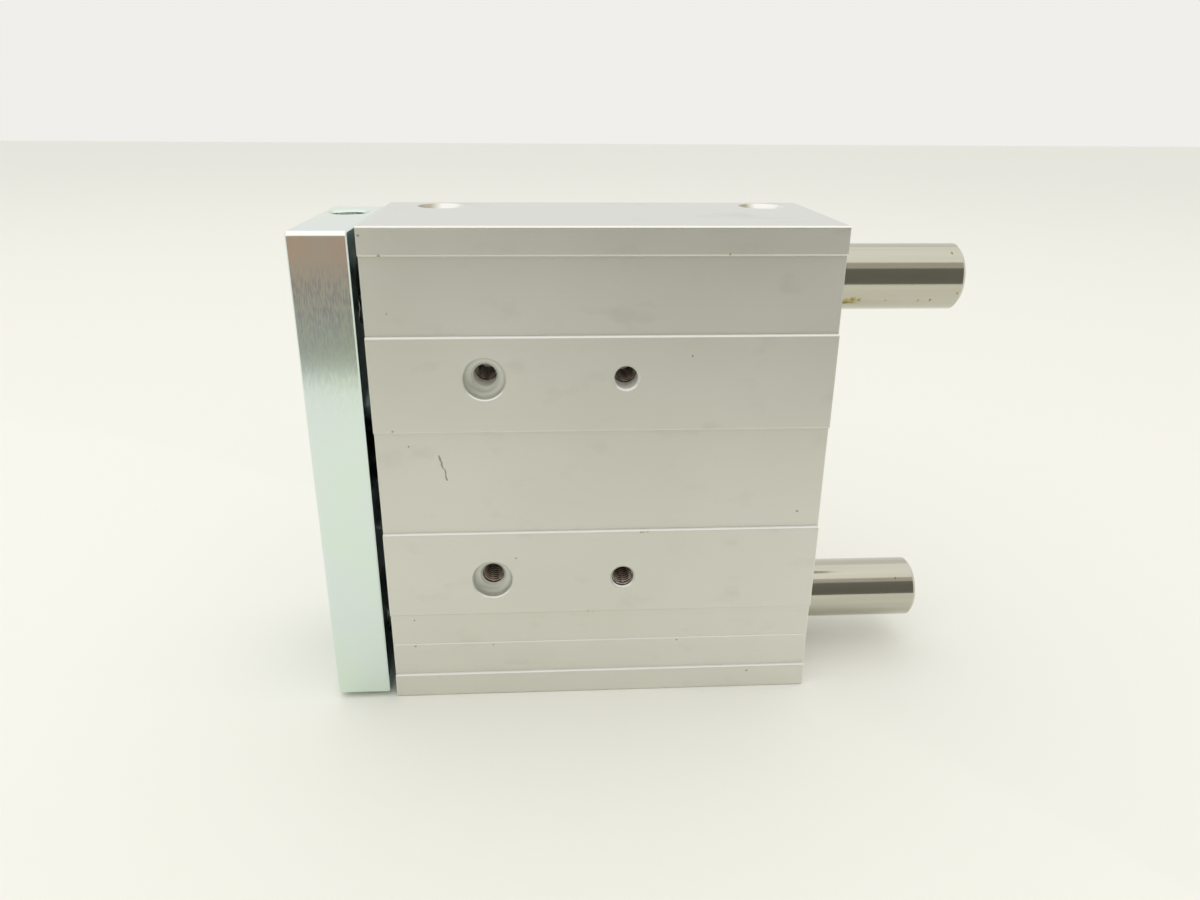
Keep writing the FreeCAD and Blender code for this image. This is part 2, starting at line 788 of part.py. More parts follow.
def guideStack(side, level):
    # everything in one guide bore, from the front: retaining ring, wiper, bush, spacer, bush
    rim = "guideBoreRadius - fitPlay"
    running = "guideRodRadius + runningPlay"
    guideRing(f"{side}_guide_ring", level)
    start = "guideWiperStart"
    length = "guideWiperLength"
    wiper(f"{side}_guide_wiper", start, level, length, "guideRodRadius", "guideBoreRadius")
    stack = [
        ("front_bush", "frontBushStart", "bushLength", running),
        ("spacer", "spacerStart", "spacerLength", "guideRodRadius + spacerPlay"),
        ("rear_bush", "rearBushStart", "bushLength", running),
    ]
    for piece, start, length, inner in stack:
        body = turnedBody(f"{side}_guide_{piece}", tube("0", length, inner, rim, "landPlay"))
        keep(body, x=f"bodyFront + {start}", z=level)


def portPlug(name, position):
    # a screw plug with a hexagonal socket, seated on the side port's shoulder
    radius = "portRadius - fitPlay"
    outline = [
        ("0", "0"),
        ("0", f"{radius} - landPlay"),
        ("landPlay", radius),
        ("plugLength", radius),
        ("plugLength", "0"),
    ]
    body = turnedBody(name, outline)
    hexSocket(body, f"{name}_socket", "0", "portRadius", "plugLength / 2")
    body.Placement.Rotation = FreeCAD.Rotation(FreeCAD.Vector(0, 0, 1), -90)
    side = "bodyDepth / 2 - plugRecess"
    return keep(body, x=f"bodyFront + {position}", y=side, z="sidePortLevel")


def rodEnd():
    # the tapped front end that all three rods share, as corners from the axis to the rim
    tap = "plateScrewDiameter / 2"
    depth = "plateScrewReach + tapSpare"
    return [(f"{depth} + {tap} / 2", "0"), (depth, tap), ("landPlay", tap), ("0", f"{tap} + landPlay")]


def guideRod(name, level):
    length = "rodSeat + plateGap + bodyLength + tailLength"
    outline = [
        *rodEnd(),
        ("0", "guideRodRadius - rodChamfer"),
        ("rodChamfer", "guideRodRadius"),
        (f"{length} - rodChamfer", "guideRodRadius"),
        (length, "guideRodRadius - rodChamfer"),
        (length, "centreDrill"),
        (f"{length} - centreDrill", "0"),
    ]
    body = turnedBody(name, outline)
    return keep(body, x="plateBack - rodSeat", z=level)


def pistonRod():
    # its rear end is a spigot for the piston, tapped for the piston's screw
    shoulder = "rodSeat + plateGap + pistonRest"
    end = f"{shoulder} + spigotLength"
    tap = "pistonScrewDiameter / 2"
    depth = f"{end} - pistonScrewReach - tapSpare"
    outline = [
        *rodEnd(),
        ("0", "pistonRodRadius - rodChamfer"),
        ("rodChamfer", "pistonRodRadius"),
        (shoulder, "pistonRodRadius"),
        (shoulder, "spigotDiameter / 2"),
        (end, "spigotDiameter / 2"),
        (end, tap),
        (depth, tap),
        (f"{depth} - {tap} / 2", "0"),
    ]
    body = turnedBody("piston_rod", outline)
    return keep(body, x="plateBack - rodSeat", z="midHeight")


def pistonGroove(start, width, floor):
    rim = "boreRadius - pistonPlay"
    return [(start, rim), (start, floor), (f"{start} + {width}", floor), (f"{start} + {width}", rim)]


magnetStart = "pistonLand"
sealStart = "pistonLand + magnetWidth + pistonRib"
wearStart = "pistonLand + magnetWidth + 2 * pistonRib + sealWidth"
wearFloor = "boreRadius - runningPlay - wearThickness"


def piston():
    rim = "boreRadius - pistonPlay"
    hole = "pistonScrewDiameter / 2 + screwSlack"
    head = "0.75 * pistonScrewDiameter + headSlack"
    web = "spigotLength + pistonWeb"
    outline = [
        ("0", "spigotDiameter / 2 + fitPlay"),
        ("0", rim),
        *pistonGroove(magnetStart, "magnetWidth", "magnetFloor"),
        *pistonGroove(sealStart, "sealWidth", "sealFloor"),
        *pistonGroove(wearStart, "wearWidth", wearFloor),
        ("pistonLength", rim),
        ("pistonLength", head),
        (web, head),
        (web, hole),
        ("spigotLength", hole),
        ("spigotLength", "spigotDiameter / 2 + fitPlay"),
    ]
    body = turnedBody("piston", outline)
    return keep(body, x="bodyFront + pistonRest", z="midHeight")


def pistonSeal():
    # a two-lipped ring that seals both ways
    inner = "sealFloor + fitPlay"
    lip = "boreRadius - runningPlay"
    dip = "boreRadius - pistonPlay - landPlay"
    start = "fitPlay"
    end = "sealWidth - fitPlay"
    outline = [
        (start, inner),
        (start, dip),
        ("sealWidth / 4", lip),
        ("sealWidth / 2", dip),
        ("3 * sealWidth / 4", lip),
        (end, dip),
        (end, inner),
    ]
    body = turnedBody("piston_seal", outline)
    return keep(body, x=f"bodyFront + pistonRest + {sealStart}", z="midHeight")


def pistonMagnet():
    inner = "magnetFloor + fitPlay"
    end = "magnetWidth - fitPlay"
    body = turnedBody("piston_magnet", tube("fitPlay", end, inner, "magnetTop", "fitPlay"))
    return keep(body, x=f"bodyFront + pistonRest + {magnetStart}", z="midHeight")


def pistonWearRing():
    # a split band that runs on the bore wall
    inner = f"{wearFloor} + fitPlay"
    outer = "boreRadius - runningPlay"
    end = "wearWidth - fitPlay"
    body = turnedBody("piston_wear_ring", tube("fitPlay", end, inner, outer, "fitPlay"))
    sketch = newSketch(body, "wear_ring_gap", "YZ_Plane")
    half = "wearGap / 2"
    reach = "boreDiameter"
    drawOutline(sketch, [(f"-{half}", "0"), (half, "0"), (half, reach), (f"-{half}", reach)])
    extruded(body, "PartDesign::Pocket", "wear_ring_split", sketch, "wearWidth", reverse=True)
    return keep(body, x=f"bodyFront + pistonRest + {wearStart}", z="midHeight")


def socketScrew(name, diameter, reach, x, z, flip=False):
    # a socket head cap screw along +X from its head; reach is the length below the head
    radius = f"{diameter} / 2"
    head = f"0.75 * {diameter}"
    end = f"{diameter} + {reach}"
    outline = [
        ("0", "0"),
        ("0", f"{head} - landPlay"),
        ("landPlay", head),
        (diameter, head),
        (diameter, f"{radius} - fitPlay"),
        (f"{end} - landPlay", f"{radius} - fitPlay"),
        (end, f"{radius} - fitPlay - landPlay"),
        (end, "0"),
    ]
    body = turnedBody(name, outline)
    hexSocket(body, f"{name}_socket", "0", f"0.8 * {diameter}", radius)
    if flip:
        body.Placement.Rotation = FreeCAD.Rotation(FreeCAD.Vector(0, 0, 1), 180)
    return keep(body, x=x, z=z)


def plateRodSeat(body, name, rodRadius, level):
    # a screw's counterbore from the front and a rod's locating recess from the back
    head = "0.75 * plateScrewDiameter + headSlack"
    headFloor = "plateThickness - rodSeat - plateWeb"
    seatFloor = "plateThickness - rodSeat"
    outline = [
        ("0", "0"),
        ("0", f"{head} + landPlay"),
        ("landPlay", head),
        (headFloor, head),
        (headFloor, "plateScrewDiameter / 2 + screwSlack"),
        (seatFloor, "plateScrewDiameter / 2 + screwSlack"),
        (seatFloor, f"{rodRadius} + fitPlay"),
        ("plateThickness", f"{rodRadius} + fitPlay"),
        ("plateThickness", "0"),
    ]
    return boredAlongX(body, name, "0", level, outline)


def yokePlate():
    body = newBody("yoke_plate")
    sketch = newSketch(body, "plate_outline", "YZ_Plane")
    side = "plateDepth / 2"
    top = "plateHeight / 2"
    rectangle = [(f"-{side}", f"-{top}"), (side, f"-{top}"), (side, top), (f"-{side}", top)]
    drawOutline(sketch, rectangle)
    extruded(body, "PartDesign::Pad", "plate_blank", sketch, "plateThickness")

    def blankEnd(edge):
        box = edge.BoundBox
        atEnd = near(box.ZMin, f"-{top}") or near(box.ZMax, top)
        atSide = near(box.YMin, f"-{side}") or near(box.YMax, side)
        return alongX(edge) and atEnd and atSide

    def faceEdge(edge):
        box = edge.BoundBox
        flat = box.XLength < tolerance
        return flat and (near(box.XMin, "0") or near(box.XMax, "plateThickness"))

    softened(body, "PartDesign::Chamfer", "end_edges", "plateEndChamfer", blankEnd)
    softened(body, "PartDesign::Chamfer", "face_edges", "plateEdgeChamfer", faceEdge)
    plateRodSeat(body, "piston_rod_seat", "pistonRodRadius", "0")
    seat = plateRodSeat(body, "guide_rod_seat", "guideRodRadius", "-guidePitch / 2")
    repeated(body, seat, "Z", "guidePitch")
    chamfer = "tapMouth - tapRadius"
    outline = [
        ("0", "0"),
        ("0", "tapMouth"),
        (chamfer, "tapRadius"),
        (f"plateThickness - ({chamfer})", "tapRadius"),
        ("plateThickness", "tapMouth"),
        ("plateThickness", "0"),
    ]
    low = "-payloadSpacingZ / 2"
    hole = boredAlongX(body, "payload_tap", "-payloadSpacingY / 2", low, outline)
    repeatedGrid(body, hole, [("Y", "payloadSpacingY"), ("Z", "payloadSpacingZ")])
    outline = [
        ("0", top),
        ("sideTapMouth", top),
        ("sideTapRadius", f"{top} - sideTapMouth + sideTapRadius"),
        ("sideTapRadius", f"{top} - sideTapDepth"),
        ("0", f"{top} - sideTapDepth - sideTapRadius / 2"),
    ]
    boredAlongZ(body, "side_tap", "plateThickness / 2", "sideTapOffset", outline)
    return keep(body, x="plateFront", z="midHeight")


def fixedPieces():
    # what stays with the body
    cylinderBody()
    bearingCap()
    endCap()
    capSeal("bearing_cap_seal", "capSeat + frontCapLength / 2")
    capSeal("end_cap_seal", "bodyLength - capSeat - rearCapLength / 2")
    bumper("front_bumper", "frontNose - bumperSeat")
    bumper("rear_bumper", "bodyLength - rearNose - bumperProud")
    lugRing("front_retaining_ring", "ringInset")
    lugRing("rear_retaining_ring", "bodyLength - ringInset - ringThickness")
    rodBush()
    rodSeal()
    wiperArguments = ("capSeat", "midHeight", "wiperDepth", "pistonRodRadius", "rodSealRadius")
    wiper("rod_wiper", *wiperArguments)
    guideStack("lower", "guideLow")
    guideStack("upper", "guideHigh")
    portPlug("front_port_plug", "portFront")
    portPlug("rear_port_plug", "portRear")


def movingPieces():
    # what travels with the plate
    yokePlate()
    guideRod("lower_guide_rod", "guideLow")
    guideRod("upper_guide_rod", "guideHigh")
    pistonRod()
    piston()
    pistonSeal()
    pistonMagnet()
    pistonWearRing()
    screwSeat = "plateBack - rodSeat - plateWeb - plateScrewHead"
    reach = "(plateWeb + plateScrewReach)"
    levels = {"lower_guide": "guideLow", "upper_guide": "guideHigh", "piston_rod": "midHeight"}
    for name, level in levels.items():
        socketScrew(f"{name}_screw", "plateScrewDiameter", reach, screwSeat, level)
    reach = "(pistonWeb + pistonScrewReach)"
    screwSeat = "bodyFront + pistonRest + spigotLength + pistonWeb + pistonScrewHead"
    socketScrew("piston_screw", "pistonScrewDiameter", reach, screwSeat, "midHeight", flip=True)


def writeParts():
    document.recompute()
    for item in document.Objects:
        if "Invalid" in item.State or "Error" in item.State:
            raise RuntimeError(f"{item.Label} failed")
    for part in parts:
        if part.Shape.isNull() or not part.Shape.isValid():
            raise RuntimeError(f"{part.Label} has no valid shape")
    os.makedirs("parts", exist_ok=True)
    for part in parts:
        part.Shape.exportStep(f"parts/{part.Label}.step")
        print(part.Label, round(part.Shape.Volume, 1), "mm3,", len(part.Shape.Solids), "solid")


fixedPieces()
movingPieces()
writeParts()
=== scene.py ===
import json
import math

import bmesh
import bpy
from mathutils import Matrix, Vector


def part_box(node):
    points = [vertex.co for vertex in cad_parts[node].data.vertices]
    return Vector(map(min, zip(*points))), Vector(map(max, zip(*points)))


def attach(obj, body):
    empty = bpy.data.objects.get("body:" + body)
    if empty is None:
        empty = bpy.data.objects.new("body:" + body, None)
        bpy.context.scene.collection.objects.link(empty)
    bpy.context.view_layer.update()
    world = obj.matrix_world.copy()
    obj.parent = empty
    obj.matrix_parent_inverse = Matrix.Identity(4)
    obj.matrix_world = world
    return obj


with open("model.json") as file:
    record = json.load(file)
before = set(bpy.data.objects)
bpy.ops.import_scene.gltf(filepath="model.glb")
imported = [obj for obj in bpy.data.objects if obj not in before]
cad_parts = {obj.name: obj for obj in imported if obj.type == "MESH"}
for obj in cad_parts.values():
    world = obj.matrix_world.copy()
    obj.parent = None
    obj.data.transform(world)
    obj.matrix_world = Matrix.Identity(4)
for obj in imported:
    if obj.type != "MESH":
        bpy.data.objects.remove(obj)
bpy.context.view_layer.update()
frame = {"nodes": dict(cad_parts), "record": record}
nodes = frame["nodes"]
mounts = {mount["name"]: mount for mount in frame["record"]["mounts"]}
scene = bpy.context.scene
mm = 0.001
print("frame loaded:", len(nodes), "nodes")


def linearColour(hexText):
    # sRGB hex to the linear values that the shaders take
    channels = [int(hexText[i:i + 2], 16) / 255 for i in (1, 3, 5)]
    return tuple([c / 12.92 if c <= 0.04045 else ((c + 0.055) / 1.055) ** 2.4 for c in channels] + [1.0])


def addNode(tree, kind, settings=None, links=None):
    # one node: settings go to its properties, sockets or ramp stops, and links come from (node, socket)
    node = tree.nodes.new(kind)
    for key, value in (settings or {}).items():
        if key == "stops":
            elements = node.color_ramp.elements
            while len(elements) < len(value):
                elements.new(0.5)
            for element, (position, colour) in zip(elements, value):
                element.position = position
                element.color = linearColour(colour)
        elif isinstance(key, str) and hasattr(node, key):
            setattr(node, key, value)
        else:
            if isinstance(value, str) and value.startswith("#"):
                value = linearColour(value)
            node.inputs[key].default_value = value
    for key, (source, socket) in (links or {}).items():
        tree.links.new(source.outputs[socket], node.inputs[key])
    return node


def startMaterial(name):
    material = bpy.data.materials.new(name)
    material.use_nodes = True
    tree = material.node_tree
    tree.nodes.clear()
    place = addNode(tree, "ShaderNodeTexCoord")
    return material, tree, place


def finishMaterial(tree, settings, links=None):
    shader = addNode(tree, "ShaderNodeBsdfPrincipled", settings, links)
    addNode(tree, "ShaderNodeOutputMaterial", links={"Surface": (shader, "BSDF")})


def patternSpace(tree, place, size):
    # coordinates in which one unit is the pattern's real size in millimetres along x, y and z
    scale = [1 / (length * mm) for length in size]
    return addNode(tree, "ShaderNodeMapping", {"Scale": scale}, {"Vector": (place, "Object")})


def giveFinish(material, name):
    data = nodes[name].data
    data.materials.clear()
    data.materials.append(material)


# clear anodised aluminium, extruded and etched: a soft warm grey sheen with faint lines along the extrusion.
# Lengths are in millimetres
anodised = {
    "colour": "#e3e3db",
    "shade": "#dadad1",
    "toneRange": (0.35, 0.85),
    "metallic": 0.85,
    "roughnessRange": (0.43, 0.53),
    "lineSpacing": 0.7,             # die lines, drawn coarser than the real ones so that they show
    "lineLength": 180,
    "lineShare": 0.15,
    "lineBump": 0.006,
    "cloudSize": 60,                # slow changes of tone
    "topReflectionColour": "#dfe0df",         # painted reflection: the upper side is tinted with the ceiling's cooler light that it mirrors
    "topSkin": 0.02,
    "skin": 0.05,                   # a cut begins this far below the face
    # rounded steps, with painted highlights where their rounding catches the light
    "edgeHighlightColour": "#f4f4ee",
    "edgeRoughness": 0.24,
    "edgeHeight": 0.62,
    "edgeDepth": 1.02,
    "ledgeHighlightColour": "#eeeeea",
    "ledges": ((8, 0.3), (19, 0.25), (58, 0.4), (118.2, 0.5)),      # level and height of each band
    "ledgeDepth": 1.27,
    "ledgePlay": 0.01,              # how far a band reaches past its ledge
    "endWidth": 0.25,               # band at each end that takes a share of the painted edge highlight
    "endShare": 0.4,
    # holes: counterbores and chamfers, then the walls, which scatter the light that gets in
    "tapRadius": 3.4,
    "counterboreRadius": 6,
    "bowlRadius": 6.5,
    "holeDepth": 40,
    "bowlColour": "#d6d8cf",
    "bowlRoughness": 0.5,
    "bowlMattness": 0.2,
    "boreColour": "#f2f1ec",
    "boreMetallic": 0.1,
    "boreRoughness": 0.33,
    "portRadius": 7.5,
    "portDepth": 20,
    "portColour": "#eeeeea",
    "portRoughness": 0.22,
    "portShade": "#b3ac9a",
    "portShadeRange": (0.5, 4),       # the painted shade deepens from the port's axis to its left wall
    "portShadeReach": 20,
    # painted highlight on the broken edge below each hole's mouth
    "rimHighlightColour": "#f0f0ec",
    "rimWidth": 0.32,
    "rimDepth": 1.05,
    "rimRange": (0.5, 0.85),
    "rimReach": 1.3,
    # each mark has its x, z and radius
    "markLimit": -25,               # marks lie where y is below this
    "oilColour": "#b3a87f",
    "oilMarks": ((-73.2, 140.2, 0.4), (-17.4, 29.9, 0.55), (-16, 29.7, 0.4), (-72, 18.2, 0.35), (-47.5, 18.1, 0.3),
                 (11.1, 18.1, 0.3), (20.7, 140.6, 0.35), (11.7, 112.3, 0.35), (-1.5, 57.6, 0.45),
                 (-0.6, 57.7, 0.45), (0.6, 57.6, 0.4)),
    "dirtColour": "#a6a79e",
    "dirtMarks": ((-78, 145.6, 0.4), (-72.6, 124.6, 0.3), (-73.4, 90.8, 0.35), (-69.3, 85.8, 0.3),
                  (-71.6, 27.7, 0.25), (34.3, 6.2, 0.35), (46.3, 63, 0.4), (-39.4, 49.4, 0.25)),
    "smearSize": (13, 13, 8),
    "smudgeColour": "#c9c9bf",
    "smudgeRange": (0.6, 0.85),
    "smudgeShare": 0.5,
    "scratchColour": "#a09f94",
    "scratchX": -55.5,
    "scratchZ": 79,
    "scratchWidth": 0.44,
    "scratchHeight": 8,
    "scratchWander": 9,
}

# specks: a fine noise breaks up their outlines, and they fade between two shares of their radius
speck = {"grit": 0.9, "shift": 0.8, "edge": (1.15, 0.7)}


def holeDistance(tree, place, centre, halfSpacing, plane):
    # how far a point is from the nearest of the holes that stand at centre plus or minus halfSpacing
    offset = addNode(tree, "ShaderNodeVectorMath", {"operation": "SUBTRACT", 1: centre}, {0: (place, "Object")})
    folded = addNode(tree, "ShaderNodeVectorMath", {"operation": "ABSOLUTE"}, {0: (offset, "Vector")})
    nearest = addNode(tree, "ShaderNodeVectorMath", {"operation": "SUBTRACT", 1: halfSpacing},
                      {0: (folded, "Vector")})
    flat = addNode(tree, "ShaderNodeVectorMath", {"operation": "MULTIPLY", 1: plane}, {0: (nearest, "Vector")})
    return addNode(tree, "ShaderNodeVectorMath", {"operation": "LENGTH"}, {0: (flat, "Vector")})


def faceHoleDistance(tree, place):
    mount = mounts["face_bolts"]
    half = [mount["dims"][key] * mm / 2 for key in ("spacing_x_mm", "spacing_y_mm")]
    return holeDistance(tree, place, mount["pos_m"], (half[0], 0, half[1]), (1, 0, 1))


def portDistance(tree, place):
    front, rear = mounts["front_port"]["pos_m"], mounts["rear_port"]["pos_m"]
    centre = [(a + b) / 2 for a, b in zip(front, rear)]
    return holeDistance(tree, place, centre, ((rear[0] - front[0]) / 2, 0, 0), (1, 1, 0))


def markMask(tree, place, marks, limit):
    # 1 inside the marks, each given by its x, z and radius, on the side where y is below the limit
    grit = patternSpace(tree, place, [speck["grit"]] * 3)
    shift = speck["shift"] * mm
    ragged = addNode(tree, "ShaderNodeTexNoise", {"Scale": 1, "Detail": 1}, {"Vector": (grit, "Vector")})
    shifted = addNode(tree, "ShaderNodeVectorMath", {"operation": "MULTIPLY_ADD", 1: (shift, 0, shift)},
                      {0: (ragged, "Color"), 2: (place, "Object")})
    flat = addNode(tree, "ShaderNodeVectorMath", {"operation": "MULTIPLY_ADD", 1: (1, 0, 1),
                                                  2: (-shift / 2, 0, -shift / 2)}, {0: (shifted, "Vector")})
    nearest = None
    for x, z, radius in marks:
        away = addNode(tree, "ShaderNodeVectorMath", {"operation": "DISTANCE", 1: (x * mm, 0, z * mm)},
                       {0: (flat, "Vector")})
        away = addNode(tree, "ShaderNodeMath", {"operation": "DIVIDE", 1: radius * mm}, {0: (away, "Value")})
        if nearest:
            away = addNode(tree, "ShaderNodeMath", {"operation": "MINIMUM"},
                           {0: (nearest, "Value"), 1: (away, "Value")})
        nearest = away
    outside, core = speck["edge"]
    inside = addNode(tree, "ShaderNodeMapRange", {"From Min": outside, "From Max": core},
                     {"Value": (nearest, "Value")})
    at = addNode(tree, "ShaderNodeSeparateXYZ", links={"Vector": (place, "Object")})
    front = addNode(tree, "ShaderNodeMath", {"operation": "LESS_THAN", 1: limit * mm}, {0: (at, "Y")})
    return addNode(tree, "ShaderNodeMath", {"operation": "MULTIPLY"}, {0: (inside, "Result"), 1: (front, "Value")})


def scratchMask(tree, at, smear):
    # one crooked scratch on the stepped face, bent by the smears
    wander = addNode(tree, "ShaderNodeMath", {"operation": "MULTIPLY_ADD", 1: anodised["scratchWander"] * mm},
                     {0: (smear, "Fac"), 2: (at, "X")})
    line = addNode(tree, "ShaderNodeMath", {"operation": "COMPARE", 1: anodised["scratchX"] * mm,
                                            2: anodised["scratchWidth"] / 2 * mm}, {0: (wander, "Value")})
    height = addNode(tree, "ShaderNodeMath", {"operation": "COMPARE", 1: anodised["scratchZ"] * mm,
                                              2: anodised["scratchHeight"] / 2 * mm}, {0: (at, "Z")})
    ahead = addNode(tree, "ShaderNodeMath", {"operation": "LESS_THAN", 1: 0}, {0: (at, "Y")})
    mask = addNode(tree, "ShaderNodeMath", {"operation": "MULTIPLY"}, {0: (line, "Value"), 1: (height, "Value")})
    return addNode(tree, "ShaderNodeMath", {"operation": "MULTIPLY"}, {0: (mask, "Value"), 1: (ahead, "Value")})


def ledgeHighlightMask(tree, at, low):
    # a narrow band of painted highlight on each ledge of the stepped face
    bands = None
    for level, height in anodised["ledges"]:
        band = addNode(tree, "ShaderNodeMath", {"operation": "COMPARE", 1: (level - height / 2) * mm,
                                                2: (height / 2 + anodised["ledgePlay"]) * mm}, {0: (at, "Z")})
        if bands:
            band = addNode(tree, "ShaderNodeMath", {"operation": "MAXIMUM"},
                           {0: (bands, "Value"), 1: (band, "Value")})
        bands = band
    front = addNode(tree, "ShaderNodeMath", {"operation": "LESS_THAN", 1: low.y + anodised["ledgeDepth"] * mm},
                    {0: (at, "Y")})
    return addNode(tree, "ShaderNodeMath", {"operation": "MULTIPLY"}, {0: (bands, "Value"), 1: (front, "Value")})


def rimHighlightMask(tree, at, low, distance):
    # painted highlight: the lower part of the ring around each hole's mouth, made lighter where it catches the
    # light
    mount = mounts["face_bolts"]
    ring = anodised["rimWidth"] / 2 * mm
    wide = addNode(tree, "ShaderNodeMath", {"operation": "LESS_THAN", 1: mount["pos_m"][0]}, {0: (at, "X")})
    mouth = addNode(tree, "ShaderNodeMapRange", {"To Min": anodised["tapRadius"] * mm,
                                                 "To Max": anodised["counterboreRadius"] * mm},
                    {"Value": (wide, "Value")})
    beyond = addNode(tree, "ShaderNodeMath", {"operation": "SUBTRACT"},
                     {0: (distance, "Value"), 1: (mouth, "Result")})
    rimHighlight = addNode(tree, "ShaderNodeMath", {"operation": "COMPARE", 1: ring, 2: ring}, {0: (beyond, "Value")})
    face = addNode(tree, "ShaderNodeMath", {"operation": "LESS_THAN", 1: low.y + anodised["rimDepth"] * mm},
                   {0: (at, "Y")})
    spacing = mount["dims"]["spacing_y_mm"] * mm
    fromHole = addNode(tree, "ShaderNodeMath", {"operation": "SUBTRACT", 1: mount["pos_m"][2] + spacing / 2},
                       {0: (at, "Z")})
    turn = addNode(tree, "ShaderNodeMath", {"operation": "FLOORED_MODULO", 1: spacing}, {0: (fromHole, "Value")})
    drop = addNode(tree, "ShaderNodeMath", {"operation": "SUBTRACT", 0: spacing}, {1: (turn, "Value")})
    drop = addNode(tree, "ShaderNodeMath", {"operation": "DIVIDE"}, {0: (drop, "Value"), 1: (mouth, "Result")})
    start, full = anodised["rimRange"]
    under = addNode(tree, "ShaderNodeMapRange", {"From Min": start, "From Max": full}, {"Value": (drop, "Value")})
    near = addNode(tree, "ShaderNodeMath", {"operation": "LESS_THAN", 1: anodised["rimReach"]},
                   {0: (drop, "Value")})
    for limit, socket in ((face, "Value"), (under, "Result"), (near, "Value")):
        rimHighlight = addNode(tree, "ShaderNodeMath", {"operation": "MULTIPLY"}, {0: (rimHighlight, "Value"), 1: (limit, socket)})
    return rimHighlight


def portShadeMask(tree, at, portHole):
    # painted shade darkens each port's left wall
    front, rear = mounts["front_port"]["pos_m"][0], mounts["rear_port"]["pos_m"][0]
    clear, full = [rear - front - length * mm for length in anodised["portShadeRange"]]
    fromPort = addNode(tree, "ShaderNodeMath", {"operation": "SUBTRACT", 1: front}, {0: (at, "X")})
    turn = addNode(tree, "ShaderNodeMath", {"operation": "FLOORED_MODULO", 1: rear - front},
                   {0: (fromPort, "Value")})
    aside = addNode(tree, "ShaderNodeMapRange", {"From Min": clear, "From Max": full}, {"Value": (turn, "Value")})
    beside = addNode(tree, "ShaderNodeMath", {"operation": "GREATER_THAN", 1: anodised["portShadeReach"] * mm},
                     {0: (turn, "Value")})
    oilAndPaintedShade = addNode(tree, "ShaderNodeMath", {"operation": "MULTIPLY"}, {0: (aside, "Result"), 1: (beside, "Value")})
    return addNode(tree, "ShaderNodeMath", {"operation": "MULTIPLY"}, {0: (oilAndPaintedShade, "Value"), 1: (portHole, "Value")})


